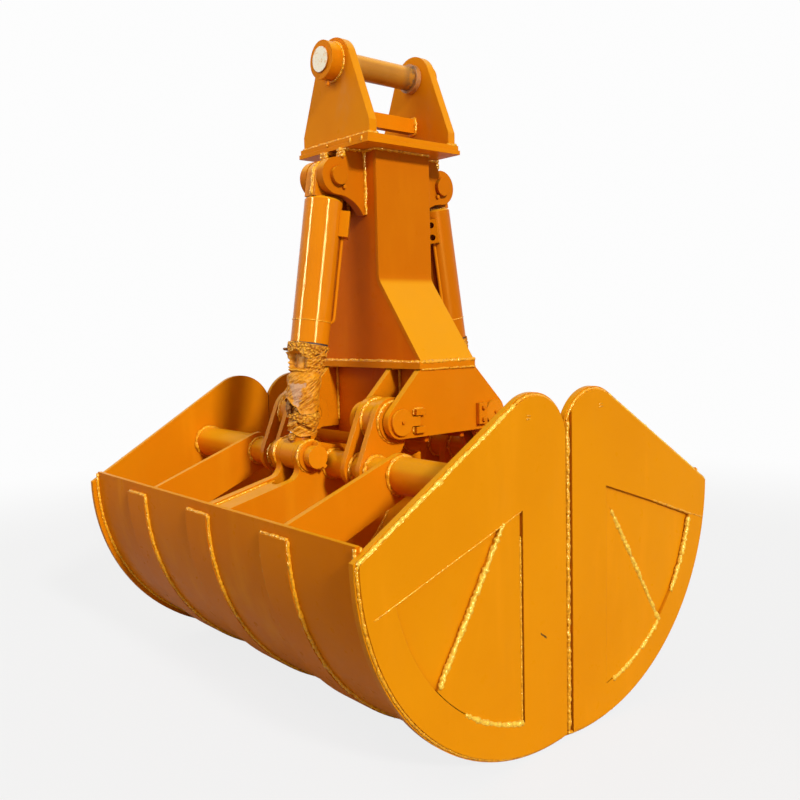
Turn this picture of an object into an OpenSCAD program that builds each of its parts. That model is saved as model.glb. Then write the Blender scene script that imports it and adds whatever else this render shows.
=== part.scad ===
// Clamshell bucket for an excavator arm.
// Two shells close along the X axis and swing open about pins at the foot of a mast.
// Origin: on the ground under the middle of the closed bucket. X runs along the jaws, Y across them, Z up.
// Left is the -Y side, right the +Y side, near the +X end and far the -X end. Millimetres throughout.

/* [Bucket shells] */
// Width of the closed bucket over both end plates
bucket_w = 1600; // [1500:10:1700]
// Radius of the curved edge of an end plate
arc_r = 675; // [668:1:690]
// Distance of the curve's centre from the closing plane
arc_off = 90; // [80:1:100]
// Thickness of an end plate
end_t = 18; // [14:1:22]
// Thickness of the doubler plate welded on an end plate
doubler_t = 10; // [6:1:12]
// Thickness of the curved shell plate
skin_t = 14; // [10:1:18]
// Height of the shell plate's lip over the centre of the curve
skin_lip = 34; // [24:1:40]
// Distance from the end plates' edge in to the shell plate
skin_inset = 21; // [18:1:24]
// Radius of the ear that tops an end plate
ear_r = 144; // [138:1:146]
// Gap between each shell and the closing plane
jaw_gap = 1.5; // [1:0.5:3]
// Width of a wear strap
strap_w = 130; // [100:5:160]
// Thickness of a wear strap
strap_t = 10; // [6:1:12]
// Spacing of the wear straps
strap_pitch = 425; // [380:5:460]
// Thickness of the cutting edge
edge_t = 24; // [16:1:30]

/* [Frame inside a shell] */
// Outer diameter of the torque tube at its middle
tube_d = 89; // [84:1:92]
// Outer diameter of the torque tube's thick ends
sleeve_d = 114; // [108:1:120]
// Bore of the torque tube
tube_bore = 64; // [50:1:70]
// Distance from the middle to the inner face of an outer rib
rib_x = 390; // [360:5:420]
// Thickness of an outer rib
rib_t = 20; // [14:1:24]
// Clear width between the two clevis ribs
clevis_gap = 74; // [72:1:78]
// Thickness of a clevis rib
clevis_t = 30; // [24:1:32]
// Diameter of the rod pin
rod_pin_d = 50; // [44:1:56]

/* [Hinge] */
// Distance of the hinge pins from the middle plane
hinge_y = 208.5; // [204:0.5:212]
// Height of the hinge pins
hinge_z = 920; // [915:1:925]
// Diameter of a hinge pin
hinge_d = 60; // [50:1:70]
// Outer diameter of a hinge bush
bush_d = 80; // [74:1:88]
// Radial clearance of a pin in its bush
run_gap = 0.05; // [0.02:0.01:0.1]
// Thickness of a frame plate
frame_t = 24; // [20:1:26]
// Thickness of an arm plate
arm_t = 22; // [18:1:24]

/* [Mast and head] */
// Height of the top of the mast
mast_top = 1800; // [1780:5:1820]
// Width of the mast at the top
mast_w = 246; // [236:2:256]
// Depth of the mast
mast_d = 234; // [226:2:242]
// Width of the mast's foot
foot_w = 650; // [630:5:660]
// Height of the bend in the mast
bend_z = 1375; // [1340:5:1400]
// Thickness of the mast's side plates
side_t = 20; // [16:1:24]
// Diameter of the head pin
head_d = 80; // [70:1:86]
// Height of the head pin
head_z = 2087; // [2080:1:2095]
// Clear width between the head lugs
head_gap = 316; // [300:2:320]
// Thickness of a head lug
lug_t = 30; // [24:1:32]

/* [Cylinders] */
// Distance of the top pins from the middle plane
top_y = 230.5; // [226:0.5:234]
// Height of the top pins
top_z = 1708; // [1700:1:1715]
// Distance of the rod pins from the middle plane with the bucket closed
rod_y = 376; // [370:1:380]
// Height of the rod pins with the bucket closed
rod_z = 809; // [803:1:812]
// Outer diameter of a barrel
barrel_d = 126; // [122:1:130]
// Bore of a barrel
barrel_bore = 110; // [100:1:112]
// Diameter of a piston rod
rod_d = 70; // [60:1:70]
// Distance from the top pin to the lower end of the barrel
barrel_l = 547; // [530:1:555]

/* [Hidden] */
$fn = 96;
far_out = 2000;
side_sign = [-1, 1];

// Shell outline, drawn in Y and Z for the left shell
arc_c = [-arc_off, 675];
corner = arc_c - [arc_r, 0];
ear_c = [-135, 886];
edge_lean = heading(corner, ear_c) + asin(ear_r / norm(ear_c - corner));
plate_out = bucket_w / 2;
plate_mid = plate_out - doubler_t;
plate_in = plate_mid - end_t;
skin_r = arc_r - skin_inset;
skin_in = skin_r - skin_t;
doubler_inset = 10;
strap_end = 150;
edge_end = 130;

// Fan-shaped window in the doubler, filled in part by a sector plate
fan_r = 571;
fan_in = 189;
fan_fall = 0.34;
fan_seam = 2;
fan_top_left = 711;
fan_top_right = 727;
seam_left = 14;
seam_right = 0;
closing_left = 2;
closing_right = 25;
sector_t = doubler_t - 1;
spoke_left = [[-269, 693], [-516, 303]];
spoke_right = [[-213, 643], [-470, 246]];

// Frame inside the left shell
tube_c = [-284, 774];
rib_lobe_r = 66;
rib_top = [-735, 678];
rib_low = [-735, 512];
lug_c = [-rod_y, rod_z];
lug_r = 50;
lobe_r = 62;
clevis_in = clevis_gap / 2;
clevis_out = clevis_in + clevis_t;
boss_t = 12;
boss_face = clevis_out + boss_t;
clevis_top = [-735, 670];
clevis_low = [-735, 483];
clevis_neck = [-452, 736];
neck_r = 40;
clevis_heel = [-222, 705];
cover_t = 10;
cover_drop = 7;
cover_end = -452;
cover_cut_r = 24;
pin_cap_d = 73;
pin_cap_l = 33;
tab_w = 14;
tab_l = 9;
tab_at = [80, -50];

// Hinge
hinge_c = [-hinge_y, hinge_z];
outer_x = 324;
inner_x = 182;
arm_a = 188;
arm_b = 264;
arm_top_r = 77;
arm_low_r = 64;
hub_r = 70;
washer_r = 64;
washer_t = 10;
thin_washer_t = 4;
inner_t = 22;
pin_in = 140;
pin_boss_r = 58;
pin_boss_t = 22;
pin_head_r = 42;
pin_head_t = 10;
nipple_r = 5;
nipple_l = 6;

// Hinge frame
frame_top = 1081;
frame_half = 122;
frame_tip_r = 53;
wall_y = 88;
wall_t = 16;
wall_z = 845;
keep_y0 = 118;
keep_y1 = 157;
keep_t = 16;
keep_h = 20;
keep_z = 28;
flag_y = 135;
flag_h = 30;
bar_y0 = 124;
bar_y1 = 163;
bar_h = 70;
bolt_r = 8;
bolt_h = 8;
bolt_z = 20;

// Mast
base_x = 329;
base_y = 130;
base_y_right = mast_d / 2 + 1;
base_top = 1102;
panel_t = 14;
panel_out = 1;
bend_r = 60;
top_x = 190;
top_half = 203;
top_t = 14;
head_x = 186;
head_half = 199;
head_base_t = 16;
head_floor = mast_top + top_t + head_base_t;

// Head
lug_shoulder = 43;
lug_top_c = [0, 2073];
lug_top_r = 90;
boss_l = [48, 38];
boss_r = [61, 58];
pin_over = 6;
collar_r = 49;
collar_t = 20;
tie_half = 15;
tie_z0 = 1897;
tie_z1 = 1947;
lug_foot_in = 6;
hang_r = 6;
hang_l = 18;

// Cylinder lugs and cylinders, set out from the top pin
cyl_lug_in = 30;
cyl_lug_out = 64;
cyl_lug_r = 60;
cyl_cut_c = [-232, 1530];
cyl_cut_r = 118;
cyl_lug_foot = 1588;
// Reach of the lugs under the head plate, left and right
cyl_lug_reach = [203, 218];
top_pin_d = 60;
top_pin_half = 80;
stud_r = 7;
stud_l = 9;
stud_at = [22, -34];
top_c = [-top_y, top_z];
tilt = atan((rod_y - top_y) / (top_z - rod_z));
cyl_l = norm(top_c - lug_c);
eye_half = 36;
eye_top_half = 28;
eye_top_r = 58;
eye_top_bore = 39.5;
eye_low_r = 50;
cap_s = 72;
shoulder = 7;
bore_s = 92;
gland_s = barrel_l - 42;
gland_end = barrel_l + 25;
gland_r = 60;
piston_s = barrel_l - 92;
piston_l = 45;
spigot_d = 56;
block_turn = 50;
block_s = [105, 190];
block_reach = 91;
block_w = 44;
port_r = 10.5;
port_l = 20;
port_s = [126, 169];
pipe_r = 6;
pipe_at = 71;
pipe_bend = 16;
pipe_end = 458;
// Soft wrap round the rod: distance from the top pin and radius of each bulge and waist
wrap_in = rod_d / 2 + 0.4;
wrap_line = [[573, 52], [578, 62], [596, 64], [612, 55], [626, 50], [642, 56], [700, 58], [738, 54],
             [764, 46], [782, 52], [816, 50], [842, 43], [856, 39]];

paint = [0.91, 0.53, 0.04];
bare = [0.8, 0.79, 0.76];
steel = [0.45, 0.44, 0.43];
chrome = [0.75, 0.76, 0.78];
bronze = [0.62, 0.45, 0.22];
cloth = [0.85, 0.58, 0.14];

// Geometry helpers

// Angle of the line from p to q
function heading(p, q) = atan2(q.y - p.y, q.x - p.x);
// Point where the tangent from p touches a circle, turn 1 for its left side and -1 for its right
function touch(p, c, r, turn) = polar(c, r, heading(p, c) + turn * (90 + asin(r / norm(c - p))));
// Point at radius r from c in direction a
function polar(c, r, a) = c + r * [cos(a), sin(a)];

// Extrude an outline drawn in Y and Z between two stations on X
module along_x(x0, x1) {
    translate([x0, 0, 0]) rotate([90, 0, 90]) linear_extrude(x1 - x0) children();
}

// The same outline at both ends of the bucket, at mirrored stations
module both_x(x0, x1) {
    along_x(x0, x1) children();
    along_x(-x1, -x0) children();
}

// Extrude an outline drawn in X and Z between two stations on Y
module along_y(y0, y1) {
    translate([0, y1, 0]) rotate([90, 0, 0]) linear_extrude(y1 - y0) children();
}

// Everything on the left of the line from p to q
module half_plane(p, q) {
    u = (q - p) / norm(q - p);
    n = [-u.y, u.x];
    polygon([p - far_out * u, p + far_out * u, p + far_out * (u + n), p - far_out * (u - n)]);
}

// Round-ended strap between two circles
module strap(p, rp, q, rq) {
    a = heading(p, q);
    b = acos((rp - rq) / norm(q - p));
    translate(p) circle(r = rp);
    translate(q) circle(r = rq);
    polygon([polar(p, rp, a + b), polar(p, rp, a - b), polar(q, rq, a - b), polar(q, rq, a + b)]);
}

// Disc at a point
module disc(c, r) {
    translate(c) circle(r = r);
}

// Draw a left part on the right side
module on_right() {
    mirror([0, 1, 0]) children();
}

// Shell outlines

// Point on the sloped edge of an end plate at height z, with the edge moved in by inset
function slope_y(z, inset) =
    corner.x + inset * sin(edge_lean) + (z - corner.y + inset * cos(edge_lean)) / tan(edge_lean);

// End plate: curved edge below, sloped edge and round ear above, straight closing edge
module end_outline(inset, closing_inset) {
    inner = -jaw_gap - closing_inset;
    knee = [slope_y(ear_c.y, inset), ear_c.y];
    intersection() {
        disc(arc_c, arc_r - inset);
        polygon([[corner.x, -1], [inner, -1], [inner, ear_c.y], knee,
                 [slope_y(corner.y - skin_inset, inset), corner.y - skin_inset],
                 [corner.x, corner.y - skin_inset]]);
    }
    polygon([knee, polar(ear_c, ear_r - inset, edge_lean + 90), ear_c]);
    intersection() {
        disc(ear_c, ear_r - inset);
        translate([ear_c.x - ear_r, ear_c.y - ear_r]) square([inner - ear_c.x + ear_r, 2 * ear_r]);
    }
}

// Fan-shaped window from Y -inner with its corner at height top, drawn smaller by shrink
module fan(inner, top, shrink) {
    reach = arc_r;
    intersection() {
        disc(arc_c, fan_r - shrink);
        polygon([[-inner, -1], [-inner, top - shrink], [-inner - reach, top - fan_fall * reach - shrink],
                 [-inner - reach, -1]]);
    }
}

// Band between two radii about the centre of the curve, within two values of Y and below a height
module band(r_out, r_in, y0, y1, top) {
    intersection() {
        difference() {
            disc(arc_c, r_out);
            disc(arc_c, r_in);
        }
        translate([y0, -1]) square([y1 - y0, top + 1]);
    }
}

// Room inside the shell plate
module skin_hollow() {
    disc(arc_c, skin_in);
    translate([arc_c.x - skin_in, arc_c.y]) square(2 * skin_in);
}

// Left shell

module shell_skin() {
    color(paint) along_x(-plate_in, plate_in) {
        band(skin_r, skin_in, arc_c.x - skin_r, -jaw_gap, arc_c.y);
        translate([arc_c.x - skin_r, arc_c.y]) square([skin_t, skin_lip]);
    }
}

module end_plates() {
    color(paint) both_x(plate_in, plate_mid) end_outline(0, 0);
}

// Doubler with its window, and the sector plate that fills the window on one side of the spoke
module end_doublers(spoke, closing_inset, top, seam) {
    color(paint) {
        both_x(plate_mid, plate_out) difference() {
            end_outline(doubler_inset, closing_inset);
            fan(fan_in, top, 0);
        }
        both_x(plate_mid, plate_mid + sector_t) intersection() {
            fan(fan_in + seam, top - fan_fall * seam, fan_seam);
            half_plane(spoke[0], spoke[1]);
        }
    }
}

module outer_ribs() {
    color(paint) both_x(rib_x, rib_x + rib_t) difference() {
        intersection() {
            skin_hollow();
            union() {
                polygon([rib_top, touch(rib_top, tube_c, rib_lobe_r, 1), tube_c,
                         touch(rib_low, tube_c, rib_lobe_r, -1), rib_low]);
                disc(tube_c, rib_lobe_r);
            }
        }
        disc(tube_c, tube_d / 2);
    }
}

// Centre of the hollow that sweeps from a clevis rib's top edge up to its lug
function sweep_foot() =
    let (u = (clevis_neck - clevis_top) / norm(clevis_neck - clevis_top), n = [-u.y, u.x],
         v = lug_c - clevis_top, b = v * n - neck_r)
    clevis_top + (v * u - sqrt((lug_r + neck_r) * (lug_r + neck_r) - b * b)) * u;
function sweep_centre() =
    let (u = (clevis_neck - clevis_top) / norm(clevis_neck - clevis_top))
    sweep_foot() + neck_r * [-u.y, u.x];

module clevis_outline() {
    difference() {
        polygon([clevis_top, sweep_foot(), sweep_centre(), lug_c, tube_c, clevis_heel, clevis_low]);
        disc(sweep_centre(), neck_r);
    }
    strap(lug_c, lug_r, tube_c, lobe_r);
    polygon([tube_c, [clevis_heel.x, tube_c.y], clevis_heel]);
}

module clevis_ribs() {
    color(paint) both_x(clevis_in, clevis_out) difference() {
        intersection() {
            skin_hollow();
            clevis_outline();
        }
        disc(tube_c, tube_d / 2);
        disc(lug_c, rod_pin_d / 2);
    }
}

module clevis_bosses() {
    color(paint) both_x(clevis_out, boss_face) difference() {
        disc(lug_c, lug_r);
        disc(lug_c, rod_pin_d / 2);
    }
}

// Cover between the clevis ribs, hollowed at its inner end
module clevis_cover() {
    rise = (clevis_neck.y - clevis_top.y) / (clevis_neck.x - clevis_top.x);
    end_z = clevis_top.y - cover_drop + rise * (cover_end - clevis_top.x);
    color(paint) difference() {
        along_x(-clevis_in, clevis_in) intersection() {
            skin_hollow();
            polygon([clevis_top - [0, cover_drop], [cover_end, end_z], [cover_end, end_z - cover_t],
                     clevis_top - [0, cover_drop + cover_t]]);
        }
        translate([0, cover_end, end_z - 2 * cover_t]) cylinder(h = 4 * cover_t, r = cover_cut_r);
    }
}

module torque_tube() {
    color(paint) difference() {
        union() {
            along_x(-rib_x - rib_t, rib_x + rib_t) disc(tube_c, tube_d / 2);
            both_x(rib_x + rib_t, plate_in) disc(tube_c, sleeve_d / 2);
        }
        along_x(-plate_in - 1, plate_in + 1) disc(tube_c, tube_bore / 2);
    }
}

// Plates of the two hinge arms
module hinge_arms() {
    color(paint) for (x = [arm_a, arm_b]) both_x(x, x + arm_t) difference() {
        strap(tube_c, arm_low_r, hinge_c, arm_top_r);
        disc(tube_c, tube_d / 2);
        disc(hinge_c, bush_d / 2);
    }
}

// Tube between the plates of each arm, with a thick washer outside and a thin one inside
module hinge_hubs() {
    color(paint) {
        both_x(arm_a + arm_t, arm_b) difference() {
            disc(hinge_c, hub_r);
            disc(hinge_c, bush_d / 2);
        }
        both_x(arm_b + arm_t, arm_b + arm_t + washer_t) difference() {
            disc(hinge_c, washer_r);
            disc(hinge_c, bush_d / 2);
        }
        both_x(arm_a - thin_washer_t, arm_a) difference() {
            disc(hinge_c, washer_r);
            disc(hinge_c, bush_d / 2);
        }
    }
}

module hinge_bushes() {
    color(bronze) both_x(arm_a - thin_washer_t, arm_b + arm_t + washer_t) difference() {
        disc(hinge_c, bush_d / 2);
        disc(hinge_c, hinge_d / 2 + run_gap);
    }
}

module wear_straps() {
    color(paint) for (i = [-1:1]) {
        along_x(i * strap_pitch - strap_w / 2, i * strap_pitch + strap_w / 2)
            band(skin_r + strap_t, skin_r, arc_c.x - skin_r - strap_t, -strap_end, arc_c.y);
    }
}

module cutting_edge() {
    color(steel) along_x(-plate_in, plate_in)
        band(skin_in, skin_in - edge_t, -edge_end, -jaw_gap, arc_c.y);
}

// Pin through the clevis, with a cap and two locking tabs at each end
module rod_pin() {
    color(steel) {
        along_x(-boss_face, boss_face) disc(lug_c, rod_pin_d / 2);
        both_x(boss_face, boss_face + pin_cap_l) {
            disc(lug_c, pin_cap_d / 2);
            for (a = tab_at) translate(lug_c) rotate(a)
                translate([0, -tab_w / 2]) square([pin_cap_d / 2 + tab_l, tab_w]);
        }
    }
}

// Hinge frame

module hinge_bores() {
    for (s = side_sign) disc([s * hinge_y, hinge_z], hinge_d / 2);
}

module frame_outline() {
    shoulder = [-frame_half, frame_top];
    t = touch(shoulder, hinge_c, frame_tip_r, -1);
    polygon([shoulder, t, hinge_c, hinge_c - [0, frame_tip_r], [hinge_y, hinge_z - frame_tip_r],
             [hinge_y, hinge_z], [-t.x, t.y], [frame_half, frame_top]]);
    for (s = side_sign) disc([s * hinge_y, hinge_z], frame_tip_r);
}

module frame_outer_plates() {
    color(paint) both_x(outer_x - frame_t, outer_x) difference() {
        frame_outline();
        hinge_bores();
    }
}

module frame_inner_plates() {
    color(paint) both_x(inner_x - inner_t, inner_x) difference() {
        frame_outline();
        hinge_bores();
    }
}

// Front and back walls of the box, between the hinge plates
module frame_box_walls() {
    color(paint) for (s = side_sign) {
        y0 = s > 0 ? wall_y - wall_t : -wall_y;
        translate([-inner_x + inner_t, y0, wall_z])
            cube([2 * (inner_x - inner_t), wall_t, frame_top - wall_z]);
        for (x = [-outer_x + frame_t, inner_x]) translate([x, y0, wall_z])
            cube([outer_x - frame_t - inner_x, wall_t, frame_top - wall_z]);
    }
}

// Pins with round heads; those on the left carry a flag that stops them turning
module hinge_pins() {
    color(bare) for (s = side_sign) {
        c = [s * hinge_y, hinge_z];
        both_x(pin_in, outer_x) disc(c, hinge_d / 2);
        both_x(outer_x, outer_x + pin_head_t) {
            disc(c, pin_head_r);
            if (s < 0) translate([c.x, c.y - flag_h / 2]) square([hinge_y - flag_y, flag_h]);
        }
    }
}

module hinge_pin_bosses() {
    color(paint) for (s = side_sign) both_x(inner_x - inner_t - pin_boss_t, inner_x - inner_t)
        difference() {
            disc([s * hinge_y, hinge_z], pin_boss_r);
            disc([s * hinge_y, hinge_z], hinge_d / 2);
        }
}

// Two blocks that hold each flag on the left, a bar beside each pin head on the right
module pin_keepers() {
    color(paint) both_x(outer_x, outer_x + keep_t) {
        for (s = side_sign) translate([-keep_y1, hinge_z + s * keep_z - keep_h / 2])
            square([keep_y1 - keep_y0, keep_h]);
        translate([bar_y0, hinge_z - bar_h / 2]) square([bar_y1 - bar_y0, bar_h]);
    }
}

module bolt_heads() {
    for (s = side_sign) for (z = side_sign)
        translate([s > 0 ? outer_x + keep_t : -outer_x - keep_t - bolt_h, (bar_y0 + bar_y1) / 2,
                   hinge_z + z * bolt_z]) rotate([0, 90, 0]) cylinder(h = bolt_h, r = bolt_r, $fn = 6);
}

// Screws of the keeper bars and of the top pins
module locking_bolts() {
    color(steel) {
        bolt_heads();
        for (s = side_sign) both_x(cyl_lug_out, cyl_lug_out + stud_l)
            translate([s * (top_y - stud_at.x), top_z + stud_at.y]) circle(r = stud_r, $fn = 6);
    }
}

// Grease points on the hinge pins' heads and under the head boss
module grease_nipples() {
    color(steel) {
        for (s = side_sign) both_x(outer_x + pin_head_t, outer_x + pin_head_t + nipple_l)
            disc([s * hinge_y, hinge_z], nipple_r);
        difference() {
            translate([0, -head_gap / 2 - lug_t - boss_l[0] / 2, head_z - boss_r[0] - hang_l])
                cylinder(h = hang_l + hang_r, r = hang_r);
            along_y(-head_gap, 0) disc([0, head_z], boss_r[0]);
        }
    }
}

// Mast

module mast_base_plate() {
    color(paint) translate([-base_x, -base_y, frame_top])
        cube([2 * base_x, base_y + base_y_right, base_top - frame_top]);
}

// Outline of the mast in X and Z, with its ends moved in and its top and foot moved out
module mast_outline(inset, over = 0) {
    turn = atan((foot_w - mast_w) / 2 / (bend_z - base_top));
    knee = [mast_w / 2 - inset, bend_z - inset * tan(turn / 2)];
    low = base_top - over;
    half = [[knee.x, mast_top + over], knee, [knee.x + (knee.y - low) * tan(turn), low]];
    bend_c = [mast_w / 2 + bend_r, bend_z + bend_r * tan(turn / 2)];
    bend_end = bend_c - (bend_r + inset) * [cos(turn), sin(turn)];
    polygon([for (q = half) q, for (i = [len(half) - 1:-1:0]) [-half[i].x, half[i].y]]);
    difference() {
        polygon([[-bend_c.x, bend_c.y], bend_c, bend_end, [-bend_end.x, bend_end.y]]);
        for (s = side_sign) disc([s * bend_c.x, bend_c.y], bend_r + inset);
    }
}

module mast_side_plates() {
    for (s = side_sign) color(paint) translate([0, s * (mast_d - side_t) / 2, 0])
        along_y(-side_t / 2, side_t / 2) mast_outline(panel_t);
}

// Bent panels over the edges of the side plates, which close the mast at its two ends
module mast_end_panels() {
    color(paint) along_y(-mast_d / 2 - panel_out, mast_d / 2 + panel_out) difference() {
        mast_outline(0);
        mast_outline(panel_t, panel_t);
    }
}

module mast_top_plate() {
    color(paint) translate([-top_x, -top_half, mast_top]) cube([2 * top_x, 2 * top_half, top_t]);
}

module head_base_plate() {
    color(paint) translate([-head_x, -head_half, mast_top + top_t])
        cube([2 * head_x, 2 * head_half, head_base_t]);
}

// Head

module head_lugs() {
    foot = [-head_x + lug_foot_in, head_floor];
    knee = foot + [0, lug_shoulder];
    t = touch(knee, lug_top_c, lug_top_r, 1);
    for (s = side_sign) color(paint) translate([0, s * (head_gap + lug_t) / 2, 0])
        along_y(-lug_t / 2, lug_t / 2) difference() {
            union() {
                polygon([foot, knee, t, lug_top_c, [-t.x, t.y], [-knee.x, knee.y], [-foot.x, foot.y]]);
                disc(lug_top_c, lug_top_r);
            }
            disc([0, head_z], head_d / 2);
        }
}

module head_pin_bosses() {
    y = head_gap / 2 + lug_t;
    color(paint) {
        along_y(-y - boss_l[0], -y) difference() {
            disc([0, head_z], boss_r[0]);
            disc([0, head_z], head_d / 2);
        }
        along_y(y, y + boss_l[1]) difference() {
            disc([0, head_z], boss_r[1]);
            disc([0, head_z], head_d / 2);
        }
    }
}

module head_pin() {
    y = head_gap / 2 + lug_t + pin_over;
    color(bare) along_y(-y - boss_l[0], y + boss_l[1]) disc([0, head_z], head_d / 2);
}

module head_pin_collar() {
    color(steel) along_y(head_gap / 2 - collar_t, head_gap / 2) difference() {
        disc([0, head_z], collar_r);
        disc([0, head_z], head_d / 2);
    }
}

module head_tie_bar() {
    color(paint) translate([-tie_half, -head_gap / 2, tie_z0])
        cube([2 * tie_half, head_gap, tie_z1 - tie_z0]);
}

// Lugs for the top pins, one pair on each side of the mast
// Lug beside the mast, up to the head plate
module cylinder_lug(reach) {
    difference() {
        union() {
            polygon([[-mast_d / 2, cyl_lug_foot], [-mast_d / 2, mast_top], [-reach, mast_top],
                     [-reach, top_c.y], top_c, [top_c.x, cyl_cut_c.y + cyl_cut_r / 2]]);
            disc(top_c, cyl_lug_r);
        }
        disc(cyl_cut_c, cyl_cut_r);
        disc(top_c, top_pin_d / 2);
    }
}

module cylinder_lugs() {
    color(paint) {
        both_x(cyl_lug_in, cyl_lug_out) cylinder_lug(cyl_lug_reach[0]);
        on_right() both_x(cyl_lug_in, cyl_lug_out) cylinder_lug(cyl_lug_reach[1]);
    }
}

module top_pins() {
    color(bare) for (s = side_sign)
        along_x(-top_pin_half, top_pin_half) disc([s * top_y, top_z], top_pin_d / 2);
}

// Left cylinder: the top pin is the origin and the rod points along +Z
module at_cylinder() {
    translate([0, top_c.x, top_c.y]) rotate([180 - tilt, 0, 0]) children();
}

// Cross cylinder of an eye
module cross(r, half) {
    rotate([0, 90, 0]) translate([0, 0, -half]) cylinder(h = 2 * half, r = r);
}

// Barrel with its rounded head and top eye
module barrel() {
    color(paint) at_cylinder() difference() {
        union() {
            translate([0, 0, cap_s])
                cylinder(h = shoulder, r1 = barrel_d / 2 - shoulder, r2 = barrel_d / 2);
            translate([0, 0, cap_s + shoulder]) cylinder(h = barrel_l - cap_s - shoulder, d = barrel_d);
            cross(eye_top_r, eye_top_half);
            translate([-eye_top_half, -eye_top_r, 0]) cube([2 * eye_top_half, 2 * eye_top_r, cap_s]);
        }
        translate([0, 0, bore_s]) cylinder(h = barrel_l, d = barrel_bore);
        cross(eye_top_bore, eye_top_half + 1);
    }
}

module gland() {
    color(steel) at_cylinder() difference() {
        union() {
            translate([0, 0, gland_s]) cylinder(h = barrel_l - gland_s, d = barrel_bore);
            translate([0, 0, barrel_l]) cylinder(h = gland_end - barrel_l, r = gland_r);
        }
        translate([0, 0, gland_s - 1]) cylinder(h = gland_end - gland_s + 2, r = rod_d / 2 + run_gap);
    }
}

module piston() {
    color(steel) at_cylinder() translate([0, 0, piston_s]) difference() {
        cylinder(h = piston_l, r = barrel_bore / 2 - run_gap);
        translate([0, 0, -1]) cylinder(h = piston_l + 2, d = spigot_d);
    }
}

// Rod with its eye
module rod() {
    color(chrome) at_cylinder() difference() {
        union() {
            translate([0, 0, piston_s]) cylinder(h = piston_l, d = spigot_d);
            translate([0, 0, piston_s + piston_l])
                cylinder(h = cyl_l - piston_s - piston_l, d = rod_d);
            translate([0, 0, cyl_l]) cross(eye_low_r, eye_half);
        }
        translate([0, 0, cyl_l]) cross(rod_pin_d / 2 + run_gap, eye_half + 1);
    }
}

// Block with two threaded ports on the barrel, and the pipe that runs down to the gland end
module oil_ports() {
    color(paint) at_cylinder() rotate([0, 0, -block_turn]) difference() {
        union() {
            translate([0, -block_w / 2, block_s[0]])
                cube([block_reach, block_w, block_s[1] - block_s[0]]);
            translate([pipe_at, 0, block_s[1]]) cylinder(h = pipe_end - block_s[1], r = pipe_r);
            translate([pipe_at - pipe_bend, 0, pipe_end]) rotate([90, 0, 0])
                rotate_extrude(angle = 90) translate([pipe_bend, 0]) circle(r = pipe_r);
        }
        cylinder(h = barrel_l, d = barrel_d);
        for (s = port_s) translate([block_reach - port_l, 0, s])
            rotate([0, 90, 0]) cylinder(h = port_l + 1, r = port_r);
    }
}

module rod_wrap() {
    color(cloth) at_cylinder() rotate_extrude()
        polygon([[wrap_in, wrap_line[0][0]], for (p = wrap_line) [p.y, p.x],
                 [wrap_in, wrap_line[len(wrap_line) - 1][0]]]);
}

// Nodes

head_lugs();
head_pin_bosses();
head_pin_collar();
head_pin();
head_tie_bar();
head_base_plate();
mast_top_plate();
mast_side_plates();
mast_end_panels();
mast_base_plate();
frame_outer_plates();
frame_inner_plates();
frame_box_walls();
hinge_pins();
hinge_pin_bosses();
pin_keepers();
locking_bolts();
grease_nipples();
cylinder_lugs();
top_pins();
shell_skin();  // shell_skin_left
end_plates();  // end_plates_left
end_doublers(spoke_left, closing_left, fan_top_left, seam_left);  // end_doublers_left
outer_ribs();  // outer_ribs_left
clevis_ribs();  // clevis_ribs_left
clevis_bosses();  // clevis_bosses_left
clevis_cover();  // clevis_cover_left
torque_tube();  // torque_tube_left
hinge_arms();  // hinge_arms_left
hinge_hubs();  // hinge_hubs_left
hinge_bushes();  // hinge_bushes_left
wear_straps();  // wear_straps_left
cutting_edge();  // cutting_edge_left
rod_pin();  // rod_pin_left
on_right() shell_skin();  // shell_skin_right
on_right() end_plates();  // end_plates_right
on_right() end_doublers(spoke_right, closing_right, fan_top_right, seam_right);  // end_doublers_right
on_right() outer_ribs();  // outer_ribs_right
on_right() clevis_ribs();  // clevis_ribs_right
on_right() clevis_bosses();  // clevis_bosses_right
on_right() clevis_cover();  // clevis_cover_right
on_right() torque_tube();  // torque_tube_right
on_right() hinge_arms();  // hinge_arms_right
on_right() hinge_hubs();  // hinge_hubs_right
on_right() hinge_bushes();  // hinge_bushes_right
on_right() wear_straps();  // wear_straps_right
on_right() cutting_edge();  // cutting_edge_right
on_right() rod_pin();  // rod_pin_right
barrel();  // barrel_left
gland();  // gland_left
piston();  // piston_left
rod();  // rod_left
oil_ports();  // oil_ports_left
rod_wrap();  // rod_wrap_left
on_right() barrel();  // barrel_right
on_right() gland();  // gland_right
on_right() piston();  // piston_right
on_right() rod();  // rod_right
on_right() oil_ports();  // oil_ports_right
on_right() rod_wrap();  // rod_wrap_right
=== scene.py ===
"""Looks of a clamshell bucket: enamel, weld beads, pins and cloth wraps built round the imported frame.

The scene works in metres. Sizes of the pieces are fields in millimetres, in the same frame as the solids:
X along the jaws, Y across them, Z up, the left shell on the -Y side. Shader sizes are in metres.
"""

from __future__ import annotations

import logging
import math
from dataclasses import dataclass
from enum import Enum
from typing import Iterable, Sequence

import bpy
from mathutils import Matrix, Vector, noise

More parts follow.
